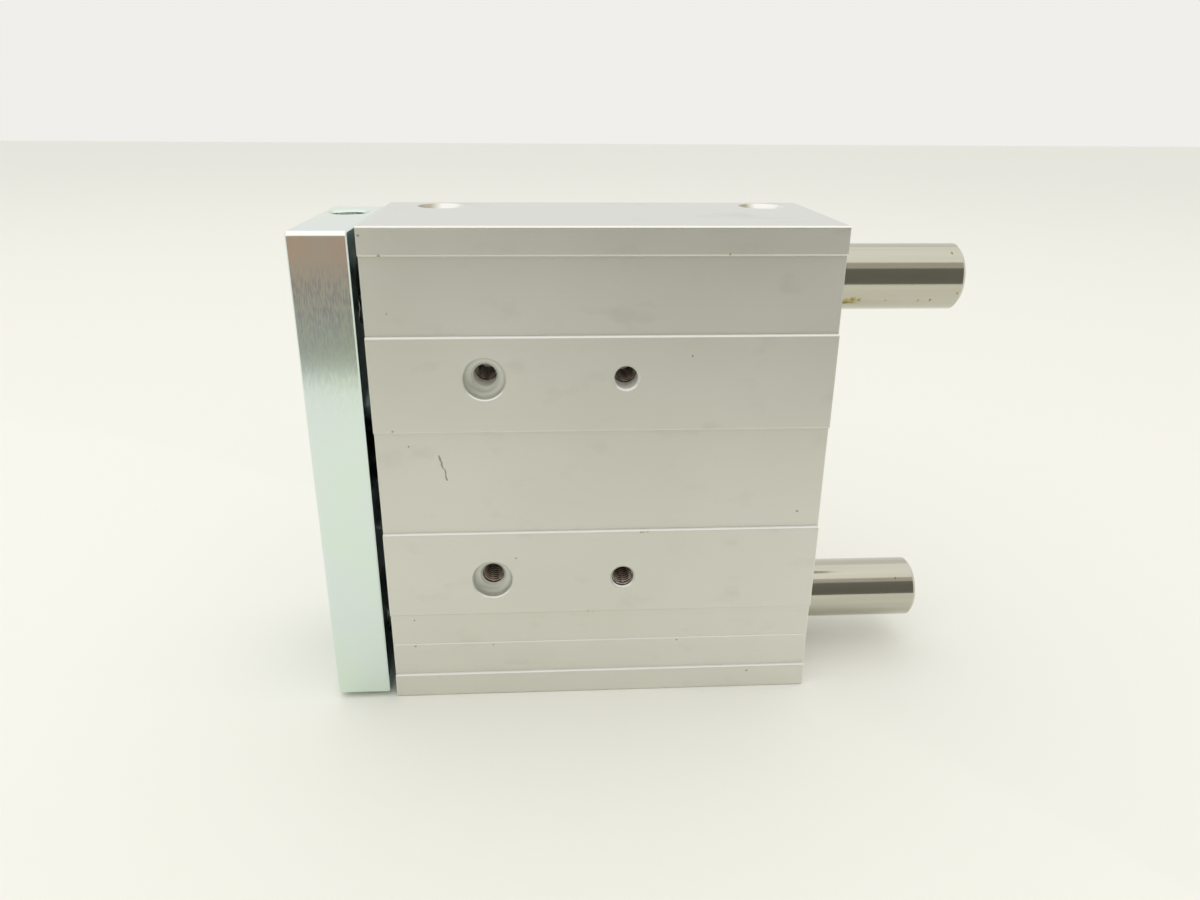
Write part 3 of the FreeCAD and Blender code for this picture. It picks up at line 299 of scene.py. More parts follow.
def anodisedAluminium():
    material, tree, place = startMaterial("clearAnodisedAluminium")
    low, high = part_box("cylinder_body")
    at = addNode(tree, "ShaderNodeSeparateXYZ", links={"Vector": (place, "Object")})
    skin = anodised["skin"] * mm
    lines = patternSpace(tree, place, (anodised["lineLength"], anodised["lineSpacing"], anodised["lineSpacing"]))
    dieLines = addNode(tree, "ShaderNodeTexNoise", {"Scale": 1, "Detail": 3}, {"Vector": (lines, "Vector")})
    clouds = patternSpace(tree, place, [anodised["cloudSize"]] * 3)
    cloud = addNode(tree, "ShaderNodeTexNoise", {"Scale": 1, "Detail": 2}, {"Vector": (clouds, "Vector")})
    tone = addNode(tree, "ShaderNodeMath", {"operation": "MULTIPLY_ADD", 1: anodised["lineShare"]},
                   {0: (dieLines, "Fac"), 2: (cloud, "Fac")})
    dark, light = anodised["toneRange"]
    colour = addNode(tree, "ShaderNodeValToRGB",
                     {"stops": [(dark, anodised["shade"]), (light, anodised["colour"])]}, {"Fac": (tone, "Value")})
    smooth, matt = anodised["roughnessRange"]
    rough = addNode(tree, "ShaderNodeMapRange", {"To Min": smooth, "To Max": matt}, {"Value": (tone, "Value")})

    # specks of dried oil and dirt, faint smudges and one scratch
    oilAndPaintedShade = markMask(tree, place, anodised["oilMarks"], anodised["markLimit"])
    dirt = markMask(tree, place, anodised["dirtMarks"], anodised["markLimit"])
    smears = patternSpace(tree, place, anodised["smearSize"])
    smear = addNode(tree, "ShaderNodeTexNoise", {"Scale": 1, "Detail": 3}, {"Vector": (smears, "Vector")})
    start, full = anodised["smudgeRange"]
    smudge = addNode(tree, "ShaderNodeMapRange", {"From Min": start, "From Max": full,
                                                  "To Max": anodised["smudgeShare"]}, {"Value": (smear, "Fac")})
    scratch = scratchMask(tree, at, smear)

    # painted highlights on the rounded front edges and the ledges, smoother than the face, and a lighter share at
    # the ends
    front = addNode(tree, "ShaderNodeMath", {"operation": "LESS_THAN", 1: low.y + anodised["edgeDepth"] * mm},
                    {0: (at, "Y")})
    upper = addNode(tree, "ShaderNodeMath", {"operation": "GREATER_THAN",
                                             1: high.z - anodised["edgeHeight"] * mm}, {0: (at, "Z")})
    edge = addNode(tree, "ShaderNodeMath", {"operation": "MULTIPLY"}, {0: (upper, "Value"), 1: (front, "Value")})
    ledgeHighlight = ledgeHighlightMask(tree, at, low)
    inside = addNode(tree, "ShaderNodeMath", {"operation": "COMPARE", 1: (low.x + high.x) / 2,
                                              2: (high.x - low.x) / 2 - anodised["endWidth"] * mm}, {0: (at, "X")})
    end = addNode(tree, "ShaderNodeMath", {"operation": "SUBTRACT", 0: 1}, {1: (inside, "Value")})
    end = addNode(tree, "ShaderNodeMath", {"operation": "MULTIPLY", 1: anodised["endShare"]}, {0: (end, "Value")})

    # the mounting holes and the ports
    distance = faceHoleDistance(tree, place)
    rimHighlight = rimHighlightMask(tree, at, low, distance)
    half = anodised["holeDepth"] / 2 * mm
    near = addNode(tree, "ShaderNodeMath", {"operation": "LESS_THAN", 1: anodised["bowlRadius"] * mm},
                   {0: (distance, "Value")})
    sunk = addNode(tree, "ShaderNodeMath", {"operation": "COMPARE", 1: low.y + half, 2: half - skin},
                   {0: (at, "Y")})
    bowl = addNode(tree, "ShaderNodeMath", {"operation": "MULTIPLY"}, {0: (near, "Value"), 1: (sunk, "Value")})
    near = addNode(tree, "ShaderNodeMath", {"operation": "LESS_THAN", 1: anodised["tapRadius"] * mm + skin},
                   {0: (distance, "Value")})
    faceHole = addNode(tree, "ShaderNodeMath", {"operation": "MULTIPLY"}, {0: (near, "Value"), 1: (bowl, "Value")})
    distance = portDistance(tree, place)
    half = anodised["portDepth"] / 2 * mm
    near = addNode(tree, "ShaderNodeMath", {"operation": "LESS_THAN", 1: anodised["portRadius"] * mm},
                   {0: (distance, "Value")})
    sunk = addNode(tree, "ShaderNodeMath", {"operation": "COMPARE", 1: high.z - half, 2: half - skin},
                   {0: (at, "Z")})
    portHole = addNode(tree, "ShaderNodeMath", {"operation": "MULTIPLY"}, {0: (near, "Value"), 1: (sunk, "Value")})
    portPaintedShade = portShadeMask(tree, at, portHole)
    # painted reflection: the top face takes a cooler tint
    ceiling = addNode(tree, "ShaderNodeMath", {"operation": "GREATER_THAN", 1: high.z - anodised["topSkin"] * mm},
                      {0: (at, "Z")})

    # mask, its socket, colour and roughness, from the lowest layer to the top one
    layers = [
        (ceiling, "Value", "topReflectionColour", None),
        (smudge, "Result", "smudgeColour", None),
        (oilAndPaintedShade, "Value", "oilColour", None),
        (dirt, "Value", "dirtColour", None),
        (scratch, "Value", "scratchColour", None),
        # painted highlight on the front edge, and a share of it at the ends
        (edge, "Value", "edgeHighlightColour", "edgeRoughness"),
        # painted highlight on the ledges
        (ledgeHighlight, "Value", "ledgeHighlightColour", "edgeRoughness"),
        (end, "Value", "edgeHighlightColour", None),
        (bowl, "Value", "bowlColour", "bowlRoughness"),
        (faceHole, "Value", "boreColour", "boreRoughness"),
        (portHole, "Value", "portColour", "portRoughness"),
        # painted shade on each port's left wall
        (portPaintedShade, "Value", "portShade", None),
        # painted highlight below each hole's mouth
        (rimHighlight, "Value", "rimHighlightColour", "edgeRoughness"),
    ]
    below = (colour, "Color")
    polish = (rough, "Result")
    for mask, socket, paint, roughness in layers:
        colour = addNode(tree, "ShaderNodeMix", {"data_type": "RGBA", 7: anodised[paint]},
                         {0: (mask, socket), 6: below})
        below = (colour, "Result")
        if roughness:
            rough = addNode(tree, "ShaderNodeMix", {"data_type": "FLOAT", 3: anodised[roughness]},
                            {0: (mask, socket), 2: polish})
            polish = (rough, "Result")
    # cut places, and the painted highlights on rims and ledges, scatter more light than they mirror
    cut = addNode(tree, "ShaderNodeMath", {"operation": "MULTIPLY_ADD", 1: anodised["bowlMattness"]},
                  {0: (bowl, "Value"), 2: (faceHole, "Value")})
    for mask in (rimHighlight, ledgeHighlight):
        cut = addNode(tree, "ShaderNodeMath", {"operation": "MAXIMUM"}, {0: (cut, "Value"), 1: (mask, "Value")})
    metallic = addNode(tree, "ShaderNodeMapRange", {"To Min": anodised["metallic"],
                                                    "To Max": anodised["boreMetallic"]}, {"Value": (cut, "Value")})
    bump = addNode(tree, "ShaderNodeBump", {"Strength": anodised["lineBump"], "Distance": mm},
                   {"Height": (dieLines, "Fac")})
    finishMaterial(tree, {}, {"Base Color": (colour, "Result"), "Roughness": (rough, "Result"),
                              "Metallic": (metallic, "Result"), "Normal": (bump, "Normal")})
    return material


# bright zinc plating, blue passivated, on ground steel: pale green-white, with a rosy film that also carries a
# painted reflection, and fine streaks.
# Lengths are in millimetres
zinc = {
    "green": "#dcebdb",
    "pale": "#dceae3",
    "cool": "#dee8e7",
    "tintSize": 26,
    "tintRange": (0.35, 0.5, 0.65),
    "roughnessRange": (0.065, 0.205),
    "skin": 0.05,
    "rosyFilmAndReflection": "#f2dccd",
    "filmAndReflectionRange": (130, 153),        # heights between which the rosy film and painted reflection thicken
    "filmAndReflectionFringe": 20,
    "blotchSize": (9, 9, 16),
    "blotchRange": (0.3, 0.6),
    "blotchFloor": 0.7,
    "streakColour": "#b4b8ca",
    "streakWidth": 0.32,            # grinding streaks under the plating, drawn coarser so that they show
    "streakLength": 2.4,
    "streakRange": (0.45, 0.62),
    "streakShare": 0.75,
    # how strongly the streaks show, by shares of the plate's height
    "streakZone": ((0.7, "#000000"), (0.75, "#c8c8c8"), (0.86, "#ffffff"), (0.9, "#ffffff"), (0.95, "#000000")),
    "streakBump": 0.016,
    "calmBump": 0.003,
    "cornerHighlightColour": "#fbfbfa",
    "cornerWidth": 1.2,
    "cornerMetallic": 0.3,
    "blue": "#b4cfd2",
}


def zincPlatedSteel():
    material, tree, place = startMaterial("bluePassivatedZinc")
    low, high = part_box("yoke_plate")
    skin = zinc["skin"] * mm
    at = addNode(tree, "ShaderNodeSeparateXYZ", links={"Vector": (place, "Object")})
    streaks = patternSpace(tree, place, (zinc["streakWidth"], zinc["streakWidth"], zinc["streakLength"]))
    streak = addNode(tree, "ShaderNodeTexNoise", {"Scale": 1, "Detail": 4}, {"Vector": (streaks, "Vector")})
    tints = patternSpace(tree, place, [zinc["tintSize"]] * 3)
    tint = addNode(tree, "ShaderNodeTexNoise", {"Scale": 1, "Detail": 2}, {"Vector": (tints, "Vector")})
    blotches = patternSpace(tree, place, zinc["blotchSize"])
    blotch = addNode(tree, "ShaderNodeTexNoise", {"Scale": 1, "Detail": 3}, {"Vector": (blotches, "Vector")})
    tones = [zinc[name] for name in ("cool", "pale", "green")]
    colour = addNode(tree, "ShaderNodeValToRGB", {"stops": list(zip(zinc["tintRange"], tones))},
                     {"Fac": (tint, "Fac")})

    # the rosy film, with a painted reflection in it, lies on the front edge's upper part, and ends in streaks
    ragged = addNode(tree, "ShaderNodeMath", {"operation": "MULTIPLY_ADD", 1: zinc["filmAndReflectionFringe"] * mm},
                     {0: (streak, "Fac"), 2: (at, "Z")})
    start, full = [height * mm for height in zinc["filmAndReflectionRange"]]
    rise = addNode(tree, "ShaderNodeMapRange", {"From Min": start, "From Max": full}, {"Value": (ragged, "Value")})
    front = addNode(tree, "ShaderNodeMath", {"operation": "LESS_THAN", 1: low.y + skin}, {0: (at, "Y")})
    start, full = zinc["blotchRange"]
    patches = addNode(tree, "ShaderNodeMapRange", {"From Min": start, "From Max": full,
                                                   "To Min": zinc["blotchFloor"]}, {"Value": (blotch, "Fac")})
    filmAndReflection = addNode(tree, "ShaderNodeMath", {"operation": "MULTIPLY"}, {0: (rise, "Result"), 1: (front, "Value")})
    filmAndReflection = addNode(tree, "ShaderNodeMath", {"operation": "MULTIPLY"}, {0: (filmAndReflection, "Value"), 1: (patches, "Result")})
    colour = addNode(tree, "ShaderNodeMix", {"data_type": "RGBA", 7: zinc["rosyFilmAndReflection"]},
                     {0: (filmAndReflection, "Value"), 6: (colour, "Color")})

    # dull streaks where the rosy film and painted reflection end
    level = addNode(tree, "ShaderNodeMath", {"operation": "DIVIDE", 1: high.z}, {0: (at, "Z")})
    zone = addNode(tree, "ShaderNodeValToRGB", {"stops": zinc["streakZone"]}, {"Fac": (level, "Value")})
    zone = addNode(tree, "ShaderNodeMath", {"operation": "MULTIPLY"}, {0: (zone, "Color"), 1: (front, "Value")})
    start, full = zinc["streakRange"]
    dull = addNode(tree, "ShaderNodeMapRange", {"From Min": start, "From Max": full,
                                                "To Max": zinc["streakShare"]}, {"Value": (streak, "Fac")})
    dull = addNode(tree, "ShaderNodeMath", {"operation": "MULTIPLY"}, {0: (dull, "Result"), 1: (zone, "Value")})
    dull = addNode(tree, "ShaderNodeMath", {"operation": "MULTIPLY"}, {0: (dull, "Value"), 1: (patches, "Result")})
    colour = addNode(tree, "ShaderNodeMix", {"data_type": "RGBA", 7: zinc["streakColour"]},
                     {0: (dull, "Value"), 6: (colour, "Result")})

    # painted highlight on the front's upper chamfer, white
    reachOut = addNode(tree, "ShaderNodeMath", {"operation": "SUBTRACT"}, {0: (at, "Z"), 1: (at, "Y")})
    corner = addNode(tree, "ShaderNodeMath", {"operation": "GREATER_THAN",
                                              1: high.z - low.y - zinc["cornerWidth"] * mm},
                     {0: (reachOut, "Value")})
    colour = addNode(tree, "ShaderNodeMix", {"data_type": "RGBA", 7: zinc["cornerHighlightColour"]},
                     {0: (corner, "Value"), 6: (colour, "Result")})
    metallic = addNode(tree, "ShaderNodeMapRange", {"To Min": 1, "To Max": zinc["cornerMetallic"]},
                       {"Value": (corner, "Value")})

    # the film is bluer on the side that faces the body
    behind = addNode(tree, "ShaderNodeMath", {"operation": "GREATER_THAN", 1: high.x - skin}, {0: (at, "X")})
    colour = addNode(tree, "ShaderNodeMix", {"data_type": "RGBA", 7: zinc["blue"]},
                     {0: (behind, "Value"), 6: (colour, "Result")})
    smooth, matt = zinc["roughnessRange"]
    rough = addNode(tree, "ShaderNodeMapRange", {"To Min": smooth, "To Max": matt}, {"Value": (streak, "Fac")})
    relief = addNode(tree, "ShaderNodeMapRange", {"To Min": zinc["calmBump"], "To Max": zinc["streakBump"]},
                     {"Value": (zone, "Value")})
    bump = addNode(tree, "ShaderNodeBump", {"Distance": mm},
                   {"Height": (streak, "Fac"), "Strength": (relief, "Result")})
    finishMaterial(tree, {}, {"Base Color": (colour, "Result"), "Roughness": (rough, "Result"),
                              "Metallic": (metallic, "Result"), "Normal": (bump, "Normal")})
    return material


# hard chrome plating, ground and polished: a dark mirror with faint bands along the rod and a few oil stains,
# each with its x, z and radius in millimetres
chromed = {
    "colour": "#c6c4b8",
    "shade": "#bfbcae",
    "toneRange": (0.35, 0.65),
    "roughnessRange": (0.096, 0.156),
    "bandLength": 120,
    "bandWidth": 2.5,
    "bandBump": 0.004,
    "oilAndPaintedShade": "#b4a875",
    "oilPatches": ((63.4, 123.3, 1.3), (61.4, 123, 1.1), (65.4, 123.5, 0.7), (83.7, 123.1, 0.45)),
    "stain": "#96844c",
    "stains": ((63.2, 123.6, 0.5), (65.2, 123.4, 0.35), (61.6, 122.8, 0.35), (73.6, 123.2, 0.25),
               (87.4, 123.2, 0.45), (93.1, 137, 0.35), (95, 125.5, 0.35), (90, 26, 0.3), (94, 11, 0.4)),
}


def chromedSteel():
    material, tree, place = startMaterial("groundChromedSteel")
    bands = patternSpace(tree, place, (chromed["bandLength"], chromed["bandWidth"], chromed["bandWidth"]))
    band = addNode(tree, "ShaderNodeTexNoise", {"Scale": 1, "Detail": 3}, {"Vector": (bands, "Vector")})
    dark, light = chromed["toneRange"]
    tint = addNode(tree, "ShaderNodeValToRGB", {"stops": [(dark, chromed["shade"]), (light, chromed["colour"])]},
                   {"Fac": (band, "Fac")})
    below = (tint, "Color")
    for paint, marks in (("oilAndPaintedShade", "oilPatches"), ("stain", "stains")):
        mask = markMask(tree, place, chromed[marks], 0)
        colour = addNode(tree, "ShaderNodeMix", {"data_type": "RGBA", 7: chromed[paint]},
                         {0: (mask, "Value"), 6: below})
        below = (colour, "Result")
    smooth, matt = chromed["roughnessRange"]
    rough = addNode(tree, "ShaderNodeMapRange", {"To Min": smooth, "To Max": matt}, {"Value": (band, "Fac")})
    bump = addNode(tree, "ShaderNodeBump", {"Strength": chromed["bandBump"], "Distance": mm},
                   {"Height": (band, "Fac")})
    finishMaterial(tree, {"Metallic": 1}, {"Base Color": (colour, "Result"), "Roughness": (rough, "Result"),
                                           "Normal": (bump, "Normal")})
    return material


# turned pieces, with fine rings around the x axis
turned = {
    # turned aluminium: bright rings, which spread the light into arcs
    "turnedAluminium": {"colour": "#d2d2d0", "shade": "#bcbcba", "roughness": 0.3, "lineBump": 0.08},
    # zinc-plated steel: a little greener, with shallower rings
    "zincPlatedPlug": {"colour": "#d5dad2", "shade": "#c2c2b4", "roughness": 0.3, "lineBump": 0.05},
}
turningMarks = {
    "spacing": 0.4,                 # drawn coarser than the real ones so that they show
    "length": 40,
    "toneRange": (0.3, 0.7),
    "roughnessSpread": 0.25,
}


def turnedMetal(name):
    finish = turned[name]
    material, tree, place = startMaterial(name)
    lines = patternSpace(tree, place, (turningMarks["spacing"], turningMarks["length"], turningMarks["length"]))
    mark = addNode(tree, "ShaderNodeTexNoise", {"Scale": 1, "Detail": 3}, {"Vector": (lines, "Vector")})
    dark, light = turningMarks["toneRange"]
    tint = addNode(tree, "ShaderNodeValToRGB", {"stops": [(dark, finish["shade"]), (light, finish["colour"])]},
                   {"Fac": (mark, "Fac")})
    spread = finish["roughness"] * turningMarks["roughnessSpread"]
    rough = addNode(tree, "ShaderNodeMapRange", {"To Min": finish["roughness"] - spread,
                                                 "To Max": finish["roughness"] + spread}, {"Value": (mark, "Fac")})
    bump = addNode(tree, "ShaderNodeBump", {"Strength": finish["lineBump"], "Distance": mm},
                   {"Height": (mark, "Fac")})
    finishMaterial(tree, {"Metallic": 1}, {"Base Color": (tint, "Color"), "Roughness": (rough, "Result"),
                                           "Normal": (bump, "Normal")})
    return material


# pieces with a fine grain, drawn coarser than the real one so that it shows
grained = {
    # thread crests cut after anodising: bare and slightly warm, painted brighter as a highlight
    "cutAluminiumThread": {"colour": "#fdf6ee", "shade": "#ecd2ba", "roughness": 0.25, "grain": 3.5,
                           "metallic": 0.5},
    # thread roots: dark brown, painted shade over the oil and dirt that stay there
    "shadedThreadRoot": {"colour": "#4d423b", "shade": "#362e29", "roughness": 0.4, "grain": 3.5, "metallic": 0.3},
    # sintered bronze: brown-gold and matt, with open pores
    "sinteredBronze": {"colour": "#b08a55", "shade": "#8a6536", "roughness": 0.45, "grain": 0.5, "metallic": 1},
    # moulded nitrile rubber: near black, with a dull sheen
    "nitrileRubber": {"colour": "#202020", "shade": "#151515", "roughness": 0.6, "grain": 0.4, "metallic": 0},
    # blackened or phosphated steel: charcoal, with a faint metal gleam
    "blackenedSteel": {"colour": "#3a3936", "shade": "#262523", "roughness": 0.4, "grain": 0.5, "metallic": 1},
    # bonded ferrite magnet: flat dark grey
    "bondedMagnet": {"colour": "#2c2a2a", "shade": "#1d1b1b", "roughness": 0.7, "grain": 0.3, "metallic": 0},
    # filled polymer of the wear ring: reddish brown, like phenolic board
    "filledPolymer": {"colour": "#8f5436", "shade": "#7a4429", "roughness": 0.5, "grain": 0.6, "metallic": 0},
}
grainRelief = {"toneRange": (0.35, 0.65), "bump": 0.15}


def grainedStuff(name):
    finish = grained[name]
    material, tree, place = startMaterial(name)
    grains = patternSpace(tree, place, [finish["grain"]] * 3)
    grit = addNode(tree, "ShaderNodeTexNoise", {"Scale": 1, "Detail": 4}, {"Vector": (grains, "Vector")})
    dark, light = grainRelief["toneRange"]
    tint = addNode(tree, "ShaderNodeValToRGB", {"stops": [(dark, finish["shade"]), (light, finish["colour"])]},
                   {"Fac": (grit, "Fac")})
    bump = addNode(tree, "ShaderNodeBump", {"Strength": grainRelief["bump"], "Distance": mm},
                   {"Height": (grit, "Fac")})
    finishMaterial(tree, {"Metallic": finish["metallic"], "Roughness": finish["roughness"]},
                   {"Base Color": (tint, "Color"), "Normal": (bump, "Normal")})
    return material


bodyFinish = anodisedAluminium()
plateFinish = zincPlatedSteel()
rodFinish = chromedSteel()
capFinish = turnedMetal("turnedAluminium")
crestFinish = grainedStuff("cutAluminiumThread")
rootFinish = grainedStuff("shadedThreadRoot")
bushFinish = grainedStuff("sinteredBronze")
rubberFinish = grainedStuff("nitrileRubber")
blackFinish = grainedStuff("blackenedSteel")
plugFinish = turnedMetal("zincPlatedPlug")
magnetFinish = grainedStuff("bondedMagnet")
polymerFinish = grainedStuff("filledPolymer")

# the first ending that fits a node's name gives its finish
finishByEnding = (
    ("cylinder_body", bodyFinish), ("yoke_plate", plateFinish), ("_rod", rodFinish), ("_cap", capFinish),
    ("_spacer", capFinish), ("piston", capFinish), ("_bush", bushFinish), ("wear_ring", polymerFinish),
    ("_seal", rubberFinish), ("_wiper", rubberFinish), ("_bumper", rubberFinish), ("_ring", blackFinish),
    ("_screw", blackFinish), ("_plug", plugFinish), ("_magnet", magnetFinish),
)
for name in nodes:
    giveFinish(next(finish for ending, finish in finishByEnding if name.endswith(ending)), name)
print("finishes given to the frame")

# threads cut in the holes: a closed sleeve on each hole's wall with a helical ridge inside
threads = {
    "columns": 40,
    "rowsPerTurn": 8,
    "wallPlay": 0.02,               # the sleeve stands off the wall, and the root off the sleeve
    "rootPlay": 0.01,
    "crestShare": 0.2,              # half of the ridge's width that takes the crest finish, in turns; the rest takes the painted shade of the roots
    "face": {"pitch": 1.25, "depth": 0.5, "start": 0.9, "length": 14},
    "rear": {"pitch": 1.25, "depth": 0.5, "start": 0.9, "length": 14},
    "plate": {"pitch": 1.25, "depth": 0.5, "start": 0.9, "length": 14.2},
    "port": {"pitch": 1.34, "depth": 0.6, "start": 1.6, "length": 10},
    "plateSide": {"pitch": 1.34, "depth": 0.6, "start": 1.5, "length": 8.8},
    "counterboreStart": 4.4,
    "upperSetback": 6,              # the upper mounting holes are threaded only deep inside
}


def threadSleeve(name, foot, axis, radius, kind, start, body):
    # foot is on the hole's axis at its mouth and axis points out of it
    length, pitch, depth = [threads[kind][key] for key in ("length", "pitch", "depth")]
    rows = int(length / pitch * threads["rowsPerTurn"])
    columns = threads["columns"]
    outer = radius - threads["wallPlay"]
    mesh = bmesh.new()
    turnAxis = Vector(axis).normalized()
    side = turnAxis.orthogonal().normalized()
    other = turnAxis.cross(side)

    def ring(along, radiusAt):
        corners = []
        for column in range(columns):
            angle = 2 * math.pi * column / columns
            out = side * math.cos(angle) + other * math.sin(angle)
            point = Vector(foot) + (out * radiusAt(column) - turnAxis * along) * mm
            corners.append(mesh.verts.new(point))
        return corners

    def ridge(along):
        def radiusAt(column):
            phase = (along / pitch + column / columns) % 1
            fade = min(1, (along - start) / pitch, (start + length - along) / pitch)
            return outer - depth * fade * (1 - abs(2 * phase - 1)) - threads["rootPlay"]
        return radiusAt

    rings = [ring(start, lambda column: outer)]
    for row in range(rows + 1):
        along = start + length * row / rows
        rings.append(ring(along, ridge(along)))
    rings.append(ring(start + length, lambda column: outer))
    rings.append(rings[0])
    for row, (near, far) in enumerate(zip(rings, rings[1:])):
        for column in range(columns):
            following = (column + 1) % columns
            face = mesh.faces.new((near[column], near[following], far[following], far[column]))
            phase = ((start + length * (row - 0.5) / rows) / pitch + (column + 0.5) / columns) % 1
            # the crests take the first finish, bright in the body, and the rest the painted shade of the roots
            face.material_index = 0 if abs(phase - 0.5) < threads["crestShare"] else 1
    bmesh.ops.recalc_face_normals(mesh, faces=mesh.faces)
    data = bpy.data.meshes.new(name)
    mesh.to_mesh(data)
    mesh.free()
    for polygon in data.polygons:
        polygon.use_smooth = True
    piece = bpy.data.objects.new(name, data)
    scene.collection.objects.link(piece)
    data.materials.append(crestFinish if body == "body" else plateFinish)
    data.materials.append(rootFinish)
    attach(piece, body)


def patternHoles(mount):
    # the four hole centres of a rectangular pattern, in metres
    across = [i for i in range(3) if abs(mount["axis"][i]) < 0.5]
    centres = []
    for first in (-0.5, 0.5):
        for second in (-0.5, 0.5):
            centre = list(mount["pos_m"])
            centre[across[0]] += first * mount["dims"]["spacing_x_mm"] * mm
            centre[across[1]] += second * mount["dims"]["spacing_y_mm"] * mm
            centres.append(centre)
    return centres


bodyLow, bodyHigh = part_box("cylinder_body")
plateLow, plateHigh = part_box("yoke_plate")
middle = (bodyLow.z + bodyHigh.z) / 2
# kind, mount, body, and the axis and place of the face that the holes open in
patterns = (
    ("face", mounts["face_bolts"], "body", 1, bodyLow.y),
    ("rear", mounts["rear_bolts"], "body", 0, bodyHigh.x),
    ("plate", mounts["plate_bolts"], "yoke", 0, plateLow.x),
)
for kind, mount, body, side, mouth in patterns:
    for index, centre in enumerate(patternHoles(mount)):
        centre[side] = mouth
        start = threads[kind]["start"]
        if kind == "face" and centre[0] < mount["pos_m"][0]:
            start = threads["counterboreStart"]
        if kind == "face" and centre[2] > middle:
            start += threads["upperSetback"]
        radius = mount["dims"]["hole_r_mm"]
        threadSleeve(f"{kind}_thread_{index}", centre, mount["axis"], radius, kind, start, body)
# kind, mount, body and height of the mouth
singleHoles = {
    "front_port_thread": ("port", mounts["front_port"], "body", bodyHigh.z),
    "rear_port_thread": ("port", mounts["rear_port"], "body", bodyHigh.z),
    "plate_side_thread": ("plateSide", mounts["plate_side_hole"], "yoke", plateHigh.z),
}
for name, (kind, mount, body, mouth) in singleHoles.items():
    centre = list(mount["pos_m"])
    centre[2] = mouth
    threadSleeve(name, centre, mount["axis"], mount["dims"]["r_mm"], kind, threads[kind]["start"], body)
print("threads cut")

# floor and lights, in metres, and the cards that the metal mirrors
stage = {
    "floor": "#f7f7f1",
    "reach": 4,
    "grain": 4,                     # in millimetres
    "grainBump": 0.02,
    "roughness": 0.8,
    "card": "#787672",
    "cardLeft": "#aca9a1",          # the card is lighter where the front plate mirrors it
    "cardFade": (-0.15, 0.02),
    "greyCard": "#cac5c0",
    "cardX": (-0.32, 1.2),
    "cardY": -0.37,
    "cardLevels": (0.008, 0.41, 0.72),
    "backdrop": "#f0efeb",
    "worldColour": "#fffefa",
    "worldStrength": 0.84,
    "softboxColour": "#fffdf7",
    "softboxPower": 4.6,
    "softboxWidth": 2.6,
    "softboxDepths": (2.2, 2.8),
    "softboxHeight": 1.3,
    "softboxX": -0.35,
    "softboxFront": -1.75,
}


def stagePlane(name, corners, colour, leftColour=None):
    data = bpy.data.meshes.new(name)
    data.from_pydata([Vector(corner) for corner in corners], [], [(0, 1, 2, 3)])
    piece = bpy.data.objects.new(name, data)
    scene.collection.objects.link(piece)
    material, tree, place = startMaterial(f"{name}Paint")
    grains = patternSpace(tree, place, [stage["grain"]] * 3)
    grain = addNode(tree, "ShaderNodeTexNoise", {"Scale": 1, "Detail": 2}, {"Vector": (grains, "Vector")})
    bump = addNode(tree, "ShaderNodeBump", {"Strength": stage["grainBump"], "Distance": mm},
                   {"Height": (grain, "Fac")})
    settings = {"Base Color": colour, "Roughness": stage["roughness"]}
    links = {"Normal": (bump, "Normal")}
    if leftColour:
        at = addNode(tree, "ShaderNodeSeparateXYZ", links={"Vector": (place, "Object")})
        left, right = stage["cardFade"]
        side = addNode(tree, "ShaderNodeMapRange", {"From Min": left, "From Max": right}, {"Value": (at, "X")})
        paint = addNode(tree, "ShaderNodeMix", {"data_type": "RGBA", 6: leftColour, 7: colour},
                        {0: (side, "Result")})
        links["Base Color"] = (paint, "Result")
    finishMaterial(tree, settings, links)
    data.materials.append(material)
    return piece


reach = stage["reach"]
stagePlane("floor", [(-reach, -reach, 0), (reach, -reach, 0), (reach, reach, 0), (-reach, reach, 0)],
           stage["floor"])
left, right = stage["cardX"]
near = stage["cardY"]
bottom, seam, top = stage["cardLevels"]
for name, colour, leftColour, foot, head in (("darkCard", stage["card"], stage["cardLeft"], bottom, seam),
                                             ("greyCard", stage["greyCard"], None, seam, top)):
    card = stagePlane(name, [(left, near, foot), (right, near, foot), (right, near, head), (left, near, head)],
                      colour, leftColour)
    # only the metal's reflections show a card
    card.visible_camera = False
    card.visible_diffuse = False
    card.visible_shadow = False

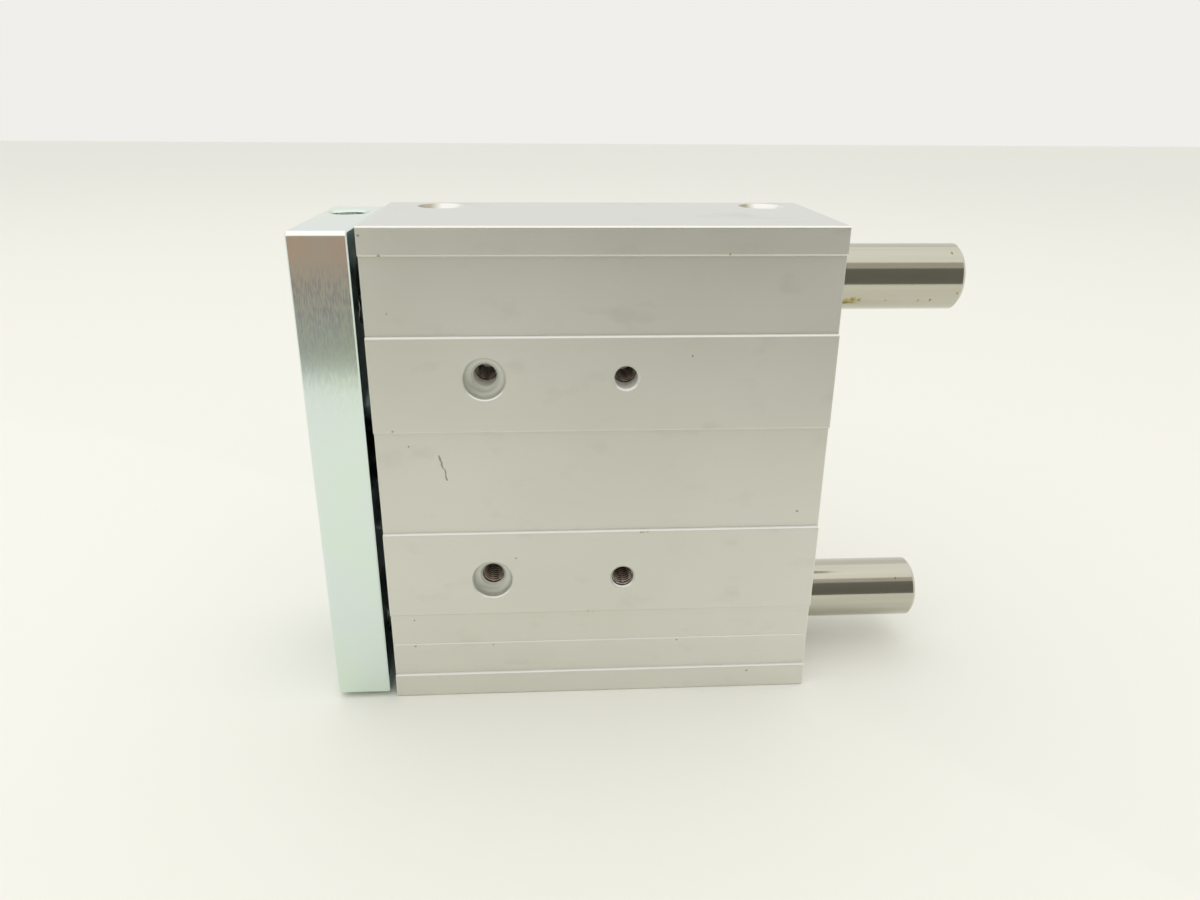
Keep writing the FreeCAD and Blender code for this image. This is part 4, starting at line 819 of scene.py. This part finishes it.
# the eye, mirrors and glass see the backdrop's plain colour, and all other rays the world's light
world = bpy.data.worlds.new("studio")
scene.world = world
world.use_nodes = True
tree = world.node_tree
tree.nodes.clear()
ray = addNode(tree, "ShaderNodeLightPath")
seen = addNode(tree, "ShaderNodeMath", {"operation": "MAXIMUM"},
               {0: (ray, "Is Camera Ray"), 1: (ray, "Is Glossy Ray")})
seen = addNode(tree, "ShaderNodeMath", {"operation": "MAXIMUM"},
               {0: (seen, "Value"), 1: (ray, "Is Transmission Ray")})
shown = addNode(tree, "ShaderNodeBackground", {"Color": stage["backdrop"], "Strength": 1})
lit = addNode(tree, "ShaderNodeBackground", {"Color": stage["worldColour"], "Strength": stage["worldStrength"]})
both = addNode(tree, "ShaderNodeMixShader",
               links={0: (seen, "Value"), 1: (lit, "Background"), 2: (shown, "Background")})
addNode(tree, "ShaderNodeOutputWorld", links={"Surface": (both, "Shader")})

# two overlapping softboxes, so that their far edge fades in two steps
for index, depth in enumerate(stage["softboxDepths"]):
    softbox = bpy.data.lights.new(f"softbox{index}", "AREA")
    softbox.shape = "RECTANGLE"
    softbox.size = stage["softboxWidth"]
    softbox.size_y = depth
    softbox.energy = stage["softboxPower"]
    softbox.color = linearColour(stage["softboxColour"])[:3]
    lamp = bpy.data.objects.new(f"softbox{index}", softbox)
    lamp.location = (stage["softboxX"], stage["softboxFront"] + depth / 2, stage["softboxHeight"])
    scene.collection.objects.link(lamp)

# camera: place in millimetres, with y from the stepped face, turns in degrees, lens and sensor in millimetres
view = {"x": -28.68, "y": -238.35, "z": 178.57, "yaw": -3.49, "pitch": -21.532, "roll": 0.45, "lens": 26.462,
        "sensor": 36, "clipStart": 10}
camera = bpy.data.cameras.new("camera")
camera.sensor_width = view["sensor"]
camera.lens = view["lens"]
camera.clip_start = view["clipStart"] * mm
eye = bpy.data.objects.new("camera", camera)
turn = (Matrix.Rotation(math.radians(view["yaw"]), 4, "Z")
        @ Matrix.Rotation(math.radians(90 + view["pitch"]), 4, "X")
        @ Matrix.Rotation(math.radians(view["roll"]), 4, "Z"))
eye.matrix_world = Matrix.Translation((view["x"] * mm, bodyLow.y + view["y"] * mm, view["z"] * mm)) @ turn
scene.collection.objects.link(eye)
scene.camera = eye

scene.view_settings.view_transform = "Standard"
print("stage set")
